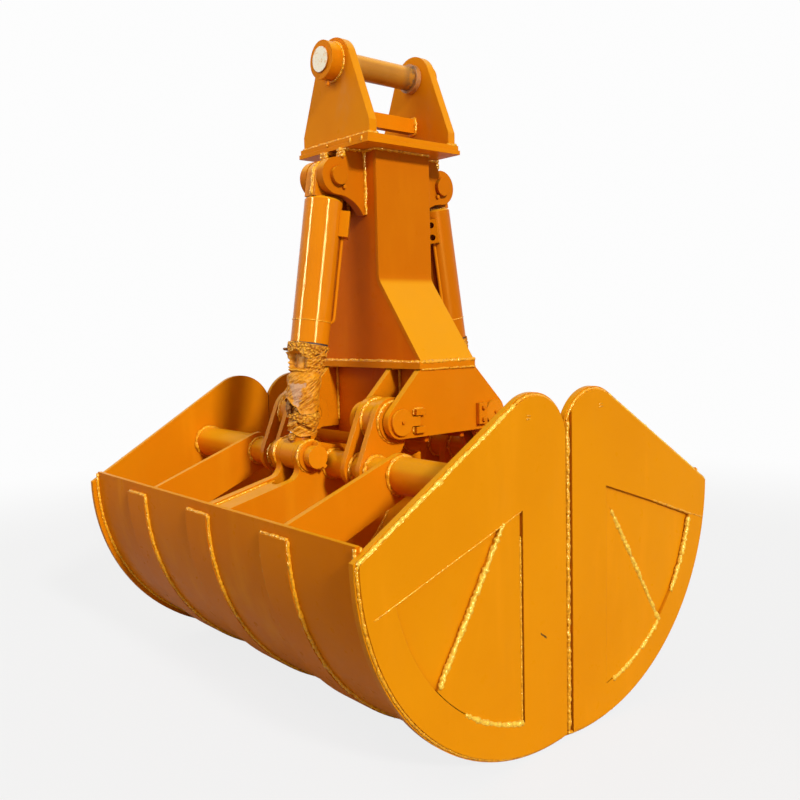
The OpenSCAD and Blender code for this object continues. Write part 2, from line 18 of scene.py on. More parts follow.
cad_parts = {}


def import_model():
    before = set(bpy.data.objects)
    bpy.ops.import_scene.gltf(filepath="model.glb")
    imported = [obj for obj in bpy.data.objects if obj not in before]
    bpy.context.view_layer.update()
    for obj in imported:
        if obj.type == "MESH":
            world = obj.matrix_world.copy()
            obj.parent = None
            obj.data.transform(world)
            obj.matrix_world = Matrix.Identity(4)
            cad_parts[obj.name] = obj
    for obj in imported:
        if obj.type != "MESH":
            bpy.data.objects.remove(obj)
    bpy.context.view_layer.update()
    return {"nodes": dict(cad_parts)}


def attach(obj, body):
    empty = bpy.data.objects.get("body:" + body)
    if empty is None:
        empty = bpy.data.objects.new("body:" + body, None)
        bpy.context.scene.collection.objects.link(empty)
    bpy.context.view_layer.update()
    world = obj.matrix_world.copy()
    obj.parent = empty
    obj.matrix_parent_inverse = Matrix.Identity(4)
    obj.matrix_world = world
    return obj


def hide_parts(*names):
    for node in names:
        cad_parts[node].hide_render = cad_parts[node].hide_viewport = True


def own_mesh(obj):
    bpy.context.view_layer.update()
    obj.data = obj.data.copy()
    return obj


Point = tuple[float, float, float]
Flat = tuple[float, float]
Colour = tuple[float, float, float]
Path = list[Point]

LOG = logging.getLogger("clamshell")
MM = 0.001
WHITE: Colour = (1.0, 1.0, 1.0)
EVEN: Point = (1.0, 1.0, 1.0)
LEVEL: Point = (1.0, 1.0, 0.0)
RING_STEPS = 61
RING_STEP = 6.0


class Side(Enum):
    """The two halves of the bucket, with the sign of their Y."""

    LEFT = -1
    RIGHT = 1

    @property
    def label(self) -> str:
        """Name used at the end of node and piece names."""
        return self.name.lower()

    def place(self, path: Iterable[Point]) -> Path:
        """Put a path drawn for the left half on this half."""
        return [(x, -y * self.value, z) for x, y, z in path]


@dataclass
class Wire:
    """A shader socket that takes part in Python arithmetic; its socket is None after a last node."""

    graph: Graph
    socket: bpy.types.NodeSocket | None

    def calc(self, operation: str, first: Wire | float, second: Wire | float = 0.0) -> Wire:
        """Result of one Math node."""
        return self.graph.node("ShaderNodeMath", {"operation": operation}, {0: first, 1: second})

    def __add__(self, other: Wire | float) -> Wire:
        """Sum of two values."""
        return self.calc("ADD", self, other)

    def __radd__(self, other: float) -> Wire:
        """Sum with a number in front."""
        return self.calc("ADD", other, self)

    def __sub__(self, other: Wire | float) -> Wire:
        """Difference of two values."""
        return self.calc("SUBTRACT", self, other)

    def __rsub__(self, other: float) -> Wire:
        """Difference with a number in front."""
        return self.calc("SUBTRACT", other, self)

    def __mul__(self, other: Wire | float) -> Wire:
        """Product of two values."""
        return self.calc("MULTIPLY", self, other)

    def __rmul__(self, other: float) -> Wire:
        """Product with a number in front."""
        return self.calc("MULTIPLY", other, self)

    def size(self) -> Wire:
        """Value without its sign."""
        return self.calc("ABSOLUTE", self)

    def above(self, low: float, high: float) -> Wire:
        """Mask that rises smoothly from 0 at low to 1 at high."""
        return self.graph.node("ShaderNodeMapRange", {"interpolation_type": "SMOOTHSTEP"},
                               {0: self, 1: low, 2: high, 3: 0.0, 4: 1.0})

    def part(self, axis: int) -> Wire:
        """One component of a vector, 0 for X, 1 for Y and 2 for Z."""
        return self.graph.node("ShaderNodeSeparateXYZ", {}, {0: self}, output=axis)


class Graph:
    """Node graph of one material or of the world."""

    def __init__(self, owner: bpy.types.Material | bpy.types.World) -> None:
        """Start an empty graph.

        Args:
            owner: Material or world whose nodes are made.
        """
        owner.use_nodes = True
        self.tree = owner.node_tree
        self.tree.nodes.clear()

    def node(self, kind: str, settings: dict | None = None, inputs: dict | None = None,
             output: int | str = 0) -> Wire:
        """Add any node.

        Args:
            kind: Type name of the node.
            settings: Its settings, set before the sockets.
            inputs: Values or wires by socket name or index.
            output: Output socket to return.

        Returns:
            The chosen output.
        """
        made = self.tree.nodes.new(kind)
        for key, value in (settings or {}).items():
            setattr(made, key, value)
        for key, value in (inputs or {}).items():
            if isinstance(value, Wire):
                self.tree.links.new(value.socket, made.inputs[key])
            else:
                made.inputs[key].default_value = value
        return Wire(self, made.outputs[output] if made.outputs else None)

    def vector(self, operation: str, first: Wire, second: Wire | Point = EVEN,
               output: str = "Vector") -> Wire:
        """Result of one Vector Math node."""
        return self.node("ShaderNodeVectorMath", {"operation": operation}, {0: first, 1: second}, output)

    def place(self, stretch: Point = EVEN) -> Wire:
        """Object coordinates, stretched along the axes."""
        return self.vector("MULTIPLY", self.node("ShaderNodeTexCoord", output="Object"), stretch)

    def noise(self, scale: float, detail: float = 3.0, roughness: float = 0.55,
              stretch: Point = EVEN) -> Wire:
        """Cloudy noise from 0 to 1, with so many cells in a metre and so many finer layers."""
        return self.node("ShaderNodeTexNoise", {}, {"Vector": self.place(stretch), "Scale": scale,
                                                    "Detail": detail, "Roughness": roughness})

    def cells(self, scale: float) -> Wire:
        """Distance to the nearest of scattered points, so many to a metre."""
        return self.node("ShaderNodeTexVoronoi", {}, {"Vector": self.place(), "Scale": scale})

    def bevel(self, radius: float) -> Wire:
        """Normal with rounded edges."""
        return self.node("ShaderNodeBevel", {"samples": 4}, {"Radius": radius})

    def sky(self, distance: float) -> Wire:
        """Share of open space within a distance."""
        return self.node("ShaderNodeAmbientOcclusion", {"samples": 6}, {"Distance": distance}, "AO")

    def edge(self, radius: float) -> Wire:
        """Mask of the outer and inner edges within a distance of a corner."""
        plain = self.node("ShaderNodeNewGeometry", output="Normal")
        return (1.0 - self.vector("DOT_PRODUCT", self.bevel(radius), plain, "Value")).above(0.01, 0.22)

    def mix(self, amount: Wire | float, first: Wire | Colour, second: Wire | Colour) -> Wire:
        """Blend two colours.

        Args:
            amount: Share of the second colour.
            first: First colour.
            second: Second colour.

        Returns:
            The blend.
        """
        first, second = (c if isinstance(c, Wire) else (*c, 1.0) for c in (first, second))
        return self.node("ShaderNodeMix", {"data_type": "RGBA", "clamp_factor": True},
                         {0: amount, 6: first, 7: second}, output=2)

    def bump(self, height: Wire, depth: float, strength: float = 1.0, base: Wire | None = None) -> Wire:
        """Bend the normal by a height.

        Args:
            height: Height from 0 to 1.
            depth: Height in metres that 1 stands for.
            strength: Share of the bump.
            base: Normal to start from.

        Returns:
            The new normal.
        """
        inputs = {"Height": height, "Distance": depth, "Strength": strength}
        if base is not None:
            inputs["Normal"] = base
        return self.node("ShaderNodeBump", {}, inputs)

    def finish(self, shader: Wire) -> None:
        """Join a shader to the material's output."""
        self.node("ShaderNodeOutputMaterial", {}, {"Surface": shader})

    def coat(self, tone: Wire, rough: Wire, normal: Wire, metallic: Wire | float = 0.0, level: float = 0.5,
             glint: Colour = WHITE) -> None:
        """Finish the material with one surface shader.

        Args:
            tone: Its colour.
            rough: Its roughness.
            normal: Its normal.
            metallic: Share of bare metal.
            level: Strength of the reflections of paint.
            glint: Colour of those reflections.
        """
        self.finish(self.node("ShaderNodeBsdfPrincipled", {}, {
            "Base Color": tone, "Roughness": rough, "Metallic": metallic, "Specular IOR Level": level,
            "Specular Tint": (*glint, 1.0), "Normal": normal}))


def blank(name: str) -> tuple[bpy.types.Material, Graph]:
    """Make a material with an empty graph."""
    material = bpy.data.materials.new(name)
    return material, Graph(material)


@dataclass(frozen=True)
class Enamel:
    """Glossy sprayed enamel over blasted steel, with thin dust, runs and small chips, plus a painted sunlit
    tint on upward faces, painted highlight on edges and painted shade in corners and deep recesses.
    """

    name: str = "orange_enamel"
    colour: Colour = (0.80, 0.240, 0.0025)
    deep: Colour = (0.68, 0.175, 0.0018)
    bright: Colour = (0.88, 0.315, 0.0060)
    # Painted sunlit tint for upward faces, and its share.
    bleach: Colour = (0.84, 0.355, 0.0060)
    bleached: float = 0.85
    # Pale film colour: dirt on most parts, and on the head lugs mostly a painted reflection.
    dust: Colour = (0.60, 0.28, 0.045)
    primer: Colour = (0.10, 0.045, 0.015)
    # Painted shade in corners and joints: its colour, its share and the reach of the search in metres.
    soot: Colour = (0.34, 0.060, 0.0010)
    grime: float = 0.6
    corner: float = 0.035
    # Painted shade deep in recesses and boxes: its colour, its share and the reach of the search in metres.
    dark: Colour = (0.075, 0.014, 0.0006)
    darkest: float = 0.85
    depth: float = 0.30
    inside: Colour | None = None
    outside_x: float = 0.785
    glint: Colour = (1.0, 0.60, 0.09)
    roughness: float = 0.30
    level: float = 0.07
    peel: float = 0.00020
    wave: float = 0.5
    # Share of the pale film and smears, which on the head lugs are mostly painted reflection.
    dusting: float = 0.16
    chips: float = 0.35
    nick: Point | None = None

    def layers(self, g: Graph) -> tuple[Wire, Wire, Wire]:
        """Build the enamel's colour, roughness and normal.

        Args:
            g: Graph of the material.

        Returns:
            Colour, roughness and normal.
        """
        cloud = g.noise(2.4, 4.0)
        run = g.noise(8.0, 3.0, 0.6, (1.0, 1.0, 0.20))
        speck = g.noise(420.0, 2.0)
        edge = g.edge(0.004)
        up = g.node("ShaderNodeTexCoord", output="Normal").part(2)
        # Pale patches on upward faces and streaky smears: dirt on most parts; on the head lugs they are
        # mostly painted reflection.
        lie = up.above(0.35, 0.95) * g.noise(14.0, 5.0, 0.65).above(0.38, 0.72) * self.dusting
        smear = g.noise(5.0, 6.0, 0.7, (1.0, 1.0, 0.5)).above(0.52, 0.80) * (self.dusting * 0.6)
        bare = edge * 0.75 + g.noise(3.1).above(0.62, 0.72) * 0.2
        chip = g.noise(95.0, 3.0, 0.7).above(0.67, 0.71) * bare * self.chips
        if self.nick is not None:
            chip = chip + self.scratch(g) * 2.0
        base: Wire | Colour = self.colour
        if self.inside is not None:
            outer = g.place().part(0).size().above(self.outside_x, self.outside_x + 0.001)
            base = g.mix(outer, self.inside, self.colour)
        tone = g.mix(cloud.above(0.35, 0.75) * 0.55, base, self.deep)
        tone = g.mix(run.above(0.52, 0.78) * 0.40, tone, self.bright)
        # Painted highlight: edges and corners take the brighter colour, as where rounded edges catch light.
        tone = g.mix(edge * 0.40, tone, self.bright)
        # Painted highlight: upward faces turn lighter and yellower, as if lit from above.
        tone = g.mix(up.above(0.22, 0.60) * self.bleached, tone, self.bleach)
        tone = g.mix(lie + smear, tone, self.dust)
        # Painted shade: surfaces close to other surfaces, in corners and joints, turn darker and redder.
        tone = g.mix((1.0 - g.sky(self.corner).above(0.25, 0.85)) * self.grime, tone, self.soot)
        # Painted shade: surfaces with little open space within that reach go nearly black.
        tone = g.mix((1.0 - g.sky(self.depth).above(0.03, 0.30)) * self.darkest, tone, self.dark)
        tone = g.mix(chip, tone, self.primer)
        rough = g.noise(30.0, 3.0) * 0.16 + lie * 0.5 + smear * 0.35 + (self.roughness - 0.08)
        normal = g.bump(g.noise(7.0, 2.0), 0.0024, self.wave, g.bevel(0.0025))
        normal = g.bump(g.noise(26.0, 2.0), 0.0008, self.wave, normal)
        normal = g.bump(g.noise(170.0, 2.0) + speck * 0.25, self.peel, 0.8, normal)
        return tone, rough, g.bump(1.0 - chip, 0.0002, 0.8, normal)

    def scratch(self, g: Graph) -> Wire:
        """Mask of a short thin scratch.

        Args:
            g: Graph of the material.

        Returns:
            The mask.
        """
        away = g.vector("SUBTRACT", g.place(), self.nick)
        thin = away.part(2) - away.part(1) * -0.75 + g.noise(120.0, 1.0) * 0.004 - 0.002
        stroke = 1.0 - thin.size().above(0.0020, 0.0034)
        reach = 1.0 - away.part(1).size().above(0.010, 0.014)
        return stroke * reach * (1.0 - away.part(0).size().above(0.01, 0.02))

    def make(self) -> bpy.types.Material:
        """Build the enamel's material.

        Returns:
            The material.
        """
        material, g = blank(self.name)
        g.coat(*self.layers(g), level=self.level, glint=self.glint)
        return material


@dataclass(frozen=True)
class BeadFinish:
    """Enamel over the ripples and lumps of a weld bead, painted lighter and yellower than the plates as a
    highlight, with painted shade in its toes.
    """

    name: str = "enamel_on_weld"
    # Lighter and yellower than the plates' enamel: a painted highlight for the beads' glints.
    colour: Colour = (0.95, 0.42, 0.012)
    shade: Colour = (0.42, 0.110, 0.003)
    glint: Colour = (1.0, 0.78, 0.32)
    level: float = 0.60
    ripple: float = 120.0
    lump: float = 0.0026

    def make(self) -> bpy.types.Material:
        """Build the bead's material.

        Returns:
            The material.
        """
        material, g = blank(self.name)
        scale = g.cells(self.ripple)
        grain = g.noise(420.0, 3.0)
        tone = g.mix(scale.above(0.40, 0.90) * 0.5, self.colour, self.shade)
        tone = g.mix(g.noise(26.0, 4.0, 0.7).above(0.58, 0.70) * 0.5, tone, self.shade)
        normal = g.bump(grain, 0.0004, 0.6, g.bump(1.0 - scale, self.lump, 0.9))
        g.coat(tone, grain * 0.24 + 0.14, normal, level=self.level, glint=self.glint)
        return material


@dataclass(frozen=True)
class HangerPin:
    """The head pin: thin glossy paint between the lugs, rubbed by the collar, bare turned ends."""

    name: str = "head_pin_finish"
    paint: Enamel = Enamel(colour=(0.56, 0.215, 0.016), deep=(0.36, 0.120, 0.008),
                           bright=(0.74, 0.36, 0.060), glint=(1.0, 0.80, 0.45), roughness=0.24, level=0.4)
    rubbed: Colour = (0.105, 0.060, 0.030)
    bare: Colour = (0.94, 0.87, 0.70)
    stain: Colour = (0.80, 0.48, 0.17)
    middle: float = -0.005
    tip: float = 0.2350
    rub: Flat = (0.080, 0.130)

    def make(self) -> bpy.types.Material:
        """Build the pin's material.

        Returns:
            The material.
        """
        material, g = blank(self.name)
        tone, rough, normal = self.paint.layers(g)
        along = g.place().part(1)
        worn = along.above(*self.rub) * g.noise(38.0, 5.0, 0.7).above(0.36, 0.56)
        end = (along - self.middle).size().above(self.tip, self.tip + 0.0012)
        face = g.mix(g.noise(85.0, 5.0, 0.7).above(0.50, 0.62) * 0.7, self.bare, self.stain)
        tone = g.mix(end, g.mix(worn * 0.85, tone, self.rubbed), face)
        g.coat(tone, rough + worn * 0.3 + end * 0.2, normal, level=self.paint.level, glint=self.paint.glint)
        return material


@dataclass(frozen=True)
class RodFinish:
    """Ground chrome up the rod and enamel over its eye."""

    name: str = "rod_finish"
    paint: Enamel = Enamel()
    chrome: Colour = (0.80, 0.81, 0.83)
    paint_to: float = 0.872

    def make(self) -> bpy.types.Material:
        """Build the rod's material.

        Returns:
            The material.
        """
        material, g = blank(self.name)
        tone, rough, normal = self.paint.layers(g)
        plated = g.place().part(2).above(self.paint_to, self.paint_to + 0.003)
        grind = g.noise(500.0, 2.0, 0.6, (1.0, 1.0, 0.1))
        rough = rough * (1.0 - plated) + plated * (grind * 0.10 + 0.08)
        g.coat(g.mix(plated, tone, self.chrome), rough, normal, plated, self.paint.level)
        return material


@dataclass(frozen=True)
class Steel:
    """Bare or half-bare steel: turned, ground or worn, with stains and old paint."""

    name: str
    colour: Colour
    stain: Colour
    metallic: float = 0.85
    roughness: float = 0.34
    stains: float = 0.45
    grain: float = 260.0
    grain_stretch: Point = EVEN
    depth: float = 0.00012
    rubbed: Colour = (0.86, 0.83, 0.78)

    def make(self) -> bpy.types.Material:
        """Build the steel's material.

        Returns:
            The material.
        """
        material, g = blank(self.name)
        patch = g.noise(26.0, 5.0, 0.65).above(0.48, 0.72)
        grind = g.noise(self.grain, 2.0, 0.6, self.grain_stretch)
        pit = g.cells(190.0).above(0.12, 0.45)
        tone = g.mix(patch * self.stains, self.colour, self.stain)
        tone = g.mix((1.0 - pit) * 0.35 * self.stains, tone, self.stain)
        tone = g.mix(g.edge(0.003) * 0.25, tone, self.rubbed)
        g.coat(tone, grind * 0.18 + patch * 0.22 + self.roughness,
               g.bump(grind + pit * 0.3, self.depth, 0.8, g.bevel(0.002)),
               self.metallic - patch * (self.stains * 0.6))
        return material


@dataclass(frozen=True)
class WrapCloth:
    """Sprayed knitted cloth, golden with deep orange patches, with painted shade in its creases, between
    its threads and between its knobs, painted highlight on its ridges, and a rubbed grey shield.
    """

    name: str = "wrap_cloth"
    colour: Colour = (0.86, 0.335, 0.008)
    fold: Colour = (0.42, 0.105, 0.003)
    worn: Colour = (0.58, 0.32, 0.185)
    worn_share: float = 0.10
    # Painted shade in creases and painted highlight on ridges.
    hollow: Colour = (0.20, 0.040, 0.0015)
    crest: Colour = (0.95, 0.50, 0.045)
    glint: Colour = (1.0, 0.72, 0.30)
    level: float = 0.22
    thread: float = 620.0
    knobs: float = 0.0
    bald: Point | None = None
    bald_half: float = 0.017
    bald_flare: float = 0.38
    bald_top: float = 0.027
    bald_edge: float = 0.007

    def patch(self, g: Graph) -> Wire:
        """Mask of the rubbed places.

        Args:
            g: Graph of the material.

        Returns:
            The mask.
        """
        rub = g.noise(11.0, 4.0, 0.6).above(0.54, 0.66) * self.worn_share
        if self.bald is None:
            return rub
        x, y, z = self.bald
        aside = g.vector("DISTANCE", g.place(LEVEL), (x, y, 0.0), "Value")
        rise = g.place().part(2) - z
        ragged = g.noise(60.0, 4.0, 0.6) * 0.05 - 0.025
        half, top = self.bald_half, self.bald_top
        beside = (aside - rise * self.bald_flare + ragged).above(half, half + self.bald_edge)
        over = (rise + ragged).above(top, top + self.bald_edge)
        return rub + (1.0 - beside) * (1.0 - over) * 0.92

    def make(self) -> bpy.types.Material:
        """Build the cloth's material.

        Returns:
            The material.
        """
        material, g = blank(self.name)
        warp, weft = (g.node("ShaderNodeTexWave", {"wave_type": "BANDS", "bands_direction": axis}, {
            "Vector": g.place(), "Scale": self.thread / 6.3, "Distortion": 1.2, "Detail": 1.0}).part(0)
            for axis in "XZ")
        weave = warp * 0.5 + weft * 0.5
        stain = g.noise(20.0, 5.0, 0.65)
        tone = g.mix(stain.above(0.42, 0.68) * 0.65, self.colour, self.fold)
        # Painted shade between the threads of the weave.
        tone = g.mix((1.0 - weave) * 0.25, tone, self.fold)
        crest = g.node("ShaderNodeNewGeometry", output="Pointiness")
        # Painted shade in creases and pits, and painted highlight on ridges.
        tone = g.mix((1.0 - g.sky(0.022).above(0.35, 0.88)) * 0.8, tone, self.hollow)
        tone = g.mix((1.0 - crest.above(0.44, 0.495)) * 0.7, tone, self.hollow)
        tone = g.mix(crest.above(0.505, 0.56) * 0.7, tone, self.crest)
        tone = g.mix(self.patch(g), tone, self.worn)
        normal = g.bump(g.noise(75.0, 4.0, 0.6), 0.0028, 0.7, g.bump(weave, 0.0006, 0.7))
        if self.knobs:
            cell = g.cells(self.knobs)
            # Painted shade between the knobs.
            tone = g.mix(cell.above(0.35, 0.75) * 0.7, tone, self.fold)
            normal = g.bump(1.0 - cell, 0.0030, 0.8, normal)
        g.coat(tone, stain * 0.2 + 0.30, normal, level=self.level, glint=self.glint)
        return material


class Shop:
    """The finishes, each made once."""

    def __init__(self) -> None:
        """Make every finish."""
        self.enamel = Enamel().make()
        # Lit and shaded copies of the enamel: the end plates take a yellower painted sunlit tone with a
        # redder painted shade on their inner faces; the shell skin, the mast parts and the right barrel,
        # and the mast sides and box walls take darker, redder copies that are painted shade.
        self.ends = Enamel(name="enamel_on_ends", colour=(0.79, 0.282, 0.0025), deep=(0.73, 0.245, 0.0020),
                           nick=(0.800, -0.106, 0.339), level=0.05, inside=(0.74, 0.212, 0.0022)).make()
        self.skin = Enamel(name="enamel_on_shell", colour=(0.76, 0.205, 0.0020), deep=(0.68, 0.160, 0.0015),
                           level=0.03).make()
        self.mast = Enamel(name="enamel_on_mast", colour=(0.64, 0.165, 0.0020), deep=(0.58, 0.138, 0.0016),
                           bright=(0.72, 0.205, 0.0030)).make()
        self.shade = Enamel(name="enamel_on_mast_sides", colour=(0.74, 0.152, 0.0016),
                            deep=(0.60, 0.110, 0.0012), bright=(0.80, 0.200, 0.0030)).make()
        # Head lugs: a slightly brighter copy with heavy pale smears that are mostly painted reflection.
        self.head = Enamel(name="enamel_on_head", colour=(0.82, 0.265, 0.0030), dusting=0.5,
                           dust=(0.62, 0.34, 0.150)).make()
        self.hub = Enamel(name="enamel_on_hubs", roughness=0.20, level=0.18, glint=(1.0, 0.76, 0.36)).make()
        self.gloss = Enamel(name="enamel_on_barrels", roughness=0.10, level=0.22, dusting=0.06,
                            glint=(1.0, 0.74, 0.30), peel=0.00005, wave=0.12).make()
        self.pin_enamel = Enamel(name="enamel_on_pins", colour=(0.84, 0.275, 0.004), roughness=0.26,
                                 level=0.16, dusting=0.1, chips=0.5, glint=(1.0, 0.72, 0.30)).make()
        self.bead = BeadFinish().make()
        # Brighter yellow bead finish: a painted highlight for the beads that glint most.
        self.fresh = BeadFinish("thin_enamel_on_weld", (0.98, 0.62, 0.060), (0.62, 0.22, 0.006)).make()
        self.hanger = HangerPin().make()
        self.worn = Steel("worn_steel", (0.20, 0.13, 0.085), (0.10, 0.055, 0.028), metallic=0.5,
                          roughness=0.48, stains=0.8).make()
        self.collar = Steel("collar_under_paint", (0.52, 0.20, 0.018), (0.13, 0.062, 0.022), metallic=0.0,
                            roughness=0.42, stains=0.95, grain=90.0, depth=0.0008).make()
        self.edge = Steel("cutting_edge_steel", (0.42, 0.38, 0.34), (0.20, 0.13, 0.08), metallic=0.8,
                          roughness=0.42, stains=0.6, grain=180.0, grain_stretch=(0.1, 1.0, 1.0)).make()
        # Near-black steel of the gland: a painted shadow, so that the gap at the barrel's mouth reads as
        # shade.
        self.oiled = Steel("oiled_steel", (0.045, 0.018, 0.006), (0.018, 0.008, 0.004), metallic=0.0,
                           roughness=0.60, stains=0.8).make()
        self.rod = RodFinish().make()
        self.bronze = Steel("bush_bronze", (0.55, 0.34, 0.13), (0.22, 0.12, 0.05), metallic=0.9,
                            roughness=0.35, stains=0.5).make()
        self.bolt = Enamel(name="enamel_on_screws", colour=(0.74, 0.20, 0.003), roughness=0.34,
                           dusting=0.2, chips=0.6).make()
        self.band = WrapCloth(name="knit_band", colour=(0.92, 0.42, 0.016), fold=(0.40, 0.10, 0.003),
                              worn_share=0.0, thread=420.0, knobs=105.0).make()
        self.dark_cloth = WrapCloth(name="soaked_cloth", colour=(0.36, 0.155, 0.040),
                                    fold=(0.12, 0.040, 0.012), worn=(0.30, 0.17, 0.13)).make()

    def sleeve(self, side: Side, bald: Point) -> bpy.types.Material:
        """Cloth of one side's sleeve, rubbed grey round a point in metres."""
        return WrapCloth(name=f"wrap_cloth_{side.label}", bald=bald).make()

    def dress(self, nodes: dict[str, bpy.types.Object]) -> None:
        """Give every solid of the frame its finish.

        Args:
            nodes: The frame's solids by name.
        """
        wearers = (
            (self.collar, "head_pin_collar"), (self.hanger, "head_pin"), (self.head, "head_lugs"),
            (self.pin_enamel, "hinge_pins rod_pin"), (self.bolt, "locking_bolts grease_nipples"),
            (self.mast, "top_pins mast_end_panels cylinder_lugs barrel_right"),
            (self.shade, "mast_side_plates frame_box_walls"), (self.ends, "end_doublers end_plates"),
            (self.skin, "shell_skin wear_straps"), (self.hub, "hinge_hubs clevis_bosses hinge_arms"),
            (self.bronze, "hinge_bushes"), (self.edge, "cutting_edge"), (self.gloss, "barrel"),
            (self.oiled, "gland"), (self.worn, "piston"), (self.rod, "rod"), (self.band, "rod_wrap"))
        finishes = {node: finish for finish, names in wearers for node in names.split()}
        for name, obj in nodes.items():
            bare = name.replace("_left", "").replace("_right", "")
            for slot in obj.material_slots:
                slot.material = finishes.get(name, finishes.get(bare, self.enamel))


def add_mesh(name: str, points: Sequence[Point], faces: Sequence[Sequence[int]],
             material: bpy.types.Material, smooth: bool = True) -> bpy.types.Object:
    """Make an object from points in millimetres.

    Args:
        name: Name of the piece.
        points: Corners.
        faces: Faces as indices of the corners.
        material: Its finish.
        smooth: Whether the faces are shaded smooth.

    Returns:
        The object, linked to the scene.
    """
    mesh = bpy.data.meshes.new(name)
    mesh.from_pydata([(x * MM, y * MM, z * MM) for x, y, z in points], [], list(faces))
    mesh.polygons.foreach_set("use_smooth", [smooth] * len(mesh.polygons))
    mesh.update()
    obj = bpy.data.objects.new(name, mesh)
    obj.data.materials.append(material)
    bpy.context.scene.collection.objects.link(obj)
    return obj


def on_circle(centre: Flat, radius: float, turn: float) -> Flat:
    """Point of a circle at an angle in degrees from its first axis."""
    a = math.radians(turn)
    return centre[0] + radius * math.cos(a), centre[1] + radius * math.sin(a)


def ring(centre: Flat, radius: float) -> list[Flat]:
    """Points of a closed circle, its first one given again as its last."""
    return [on_circle(centre, radius, RING_STEP * i) for i in range(RING_STEPS)]


def arc(x: float, centre: Flat, radius: float, start: float, end: float, step: float = 3.0) -> Path:
    """An arc in a plane square to X.

    Args:
        x: Station of the plane.
        centre: Y and Z of the centre.
        radius: Radius of the arc.
        start: First angle in degrees from +Y.
        end: Last angle in degrees.
        step: Largest angle between two points.

    Returns:
        The arc's points.
    """
    count = max(2, int(abs(end - start) / step) + 1)
    return [(x, *on_circle(centre, radius, start + (end - start) * i / count)) for i in range(count + 1)]


@dataclass(frozen=True)
class Bead:
    """Weld bead: a lumpy tube whose lower half is sunk in the plates it joins."""

    radius: float = 5.0
    step: float = 5.5
    sides: int = 7
    lump: float = 0.26
    wander: float = 0.9
    grain: float = 0.021
    apart: float = 7.3
    tip: float = 0.72
    pitch: float = 4.6
    beat: float = 0.6
    rough: float = 0.14
    rough_pitch: float = 9.0
    wander_pitch: float = 2.0

    def run(self, path: Path) -> list[Vector]:
        """Points along a path at even steps.

        Args:
            path: Corners of the path.

        Returns:
            The points.
        """
        corners = [Vector(p) for p in path]
        found = [corners[0]]
        left = self.step
        for a, b in zip(corners, corners[1:]):
            length = (b - a).length
            if length < 1e-6:
                continue
            at = left
            while at < length:
                found.append(a.lerp(b, at / length))
                at += self.step
            left = at - length
        if (found[-1] - corners[-1]).length > self.step * 0.4:
            found.append(corners[-1])
        return found

    def build(self, name: str, paths: Sequence[Path], material: bpy.types.Material) -> bpy.types.Object:
        """Make one object of all the beads of a group.

        Args:
            name: Name of the piece.
            paths: The beads' paths.
            material: Their finish.

        Returns:
            The object.
        """
        points: list[Point] = []
        faces: list[tuple[int, ...]] = []
        for index, path in enumerate(paths):
            spots = self.run(path)
            if len(spots) < 2:
                continue
            across = (spots[1] - spots[0]).orthogonal().normalized()
            base, last = len(points), len(spots) - 1
            for i, spot in enumerate(spots):
                ahead = (spots[min(i + 1, last)] - spots[max(i - 1, 0)]).normalized()
                across = (across - ahead * across.dot(ahead)).normalized()
                other = ahead.cross(across)
                seed = Vector((spot.x * self.grain + index * self.apart, spot.y * self.grain,
                               spot.z * self.grain))
                swell = 1.0 + self.lump * (noise.noise(seed * self.pitch)
                                           + self.beat * (0.5 - (i % 3) / 2.0) * 0.5)
                if i in (0, last):
                    swell *= self.tip
                away = seed * self.wander_pitch + Vector((9.0, 0.0, 0.0))
                drift = across * (self.wander * noise.noise(away))
                for k in range(self.sides):
                    angle = 2.0 * math.pi * k / self.sides
                    facet = seed * self.rough_pitch + Vector((0.0, k * 1.7, 0.0))
                    wobble = 1.0 + self.rough * noise.noise(facet)
                    reach = self.radius * swell * wobble
                    points.append(tuple(spot + drift + across * (reach * math.cos(angle))
                                        + other * (reach * math.sin(angle))))
            for i in range(last):
                for k in range(self.sides):
                    a = base + i * self.sides + k
                    b = base + i * self.sides + (k + 1) % self.sides
                    faces.append((a, b, b + self.sides, a + self.sides))
            end = base + last * self.sides
            faces.append(tuple(base + k for k in reversed(range(self.sides))))
            faces.append(tuple(end + k for k in range(self.sides)))
        return add_mesh(name, points, faces, material)


@dataclass
class Welds:
    """Adds groups of weld beads to one body."""

    shop: Shop
    body: str
    ending: str = ""
    wander: float = 3.4

    def add(self, name: str, paths: Sequence[Path], radius: float = 5.0, lump: float = 0.26,
            fresh: bool = False) -> None:
        """Lay one group of beads.

        Args:
            name: Name of the group.
            paths: The beads' paths in millimetres.
            radius: Radius of the beads.
            lump: Unevenness of their thickness.
            fresh: Whether they take the brighter yellow finish, a painted highlight.
        """
        finish = self.shop.fresh if fresh else self.shop.bead
        bead = Bead(radius=radius, lump=lump, wander=self.wander * lump).build(
            f"weld_{name}{self.ending}", paths, finish)
        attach(bead, self.body)
        LOG.info("piece %s on %s: %d beads", bead.name, self.body, len(paths))


@dataclass(frozen=True)
class Window:
    """Beads of a doubler's fan-shaped window, as Y and Z on its plate and angles on its fan."""

    spoke: tuple[Flat, Flat]
    fan_out: float
    fans: tuple[Flat, ...]
    seam: tuple[Flat, Flat]
    seam_in: float
    sector: tuple[Flat, Flat]
    ear_top: float


WINDOWS = {
    Side.LEFT: Window(
        spoke=((-265.0, 688.0), (-512.0, 302.0)), fan_out=1.0, fans=((-100.4, -125.2),),
        seam=((-196.0, 640.0), (-196.0, 112.0)), seam_in=3.0,
        sector=((-196.0, 709.0), (-718.0, 531.0)), ear_top=964.0),
    Side.RIGHT: Window(
        spoke=((-213.0, 647.0), (-471.0, 246.0)), fan_out=3.0, fans=((-103.3, -131.3), (-142.2, -168.0)),
        seam=((-439.0, 645.0), (-671.0, 561.0)), seam_in=0.0,
        sector=((-668.0, 564.0), (-734.0, 542.0)), ear_top=972.0)}


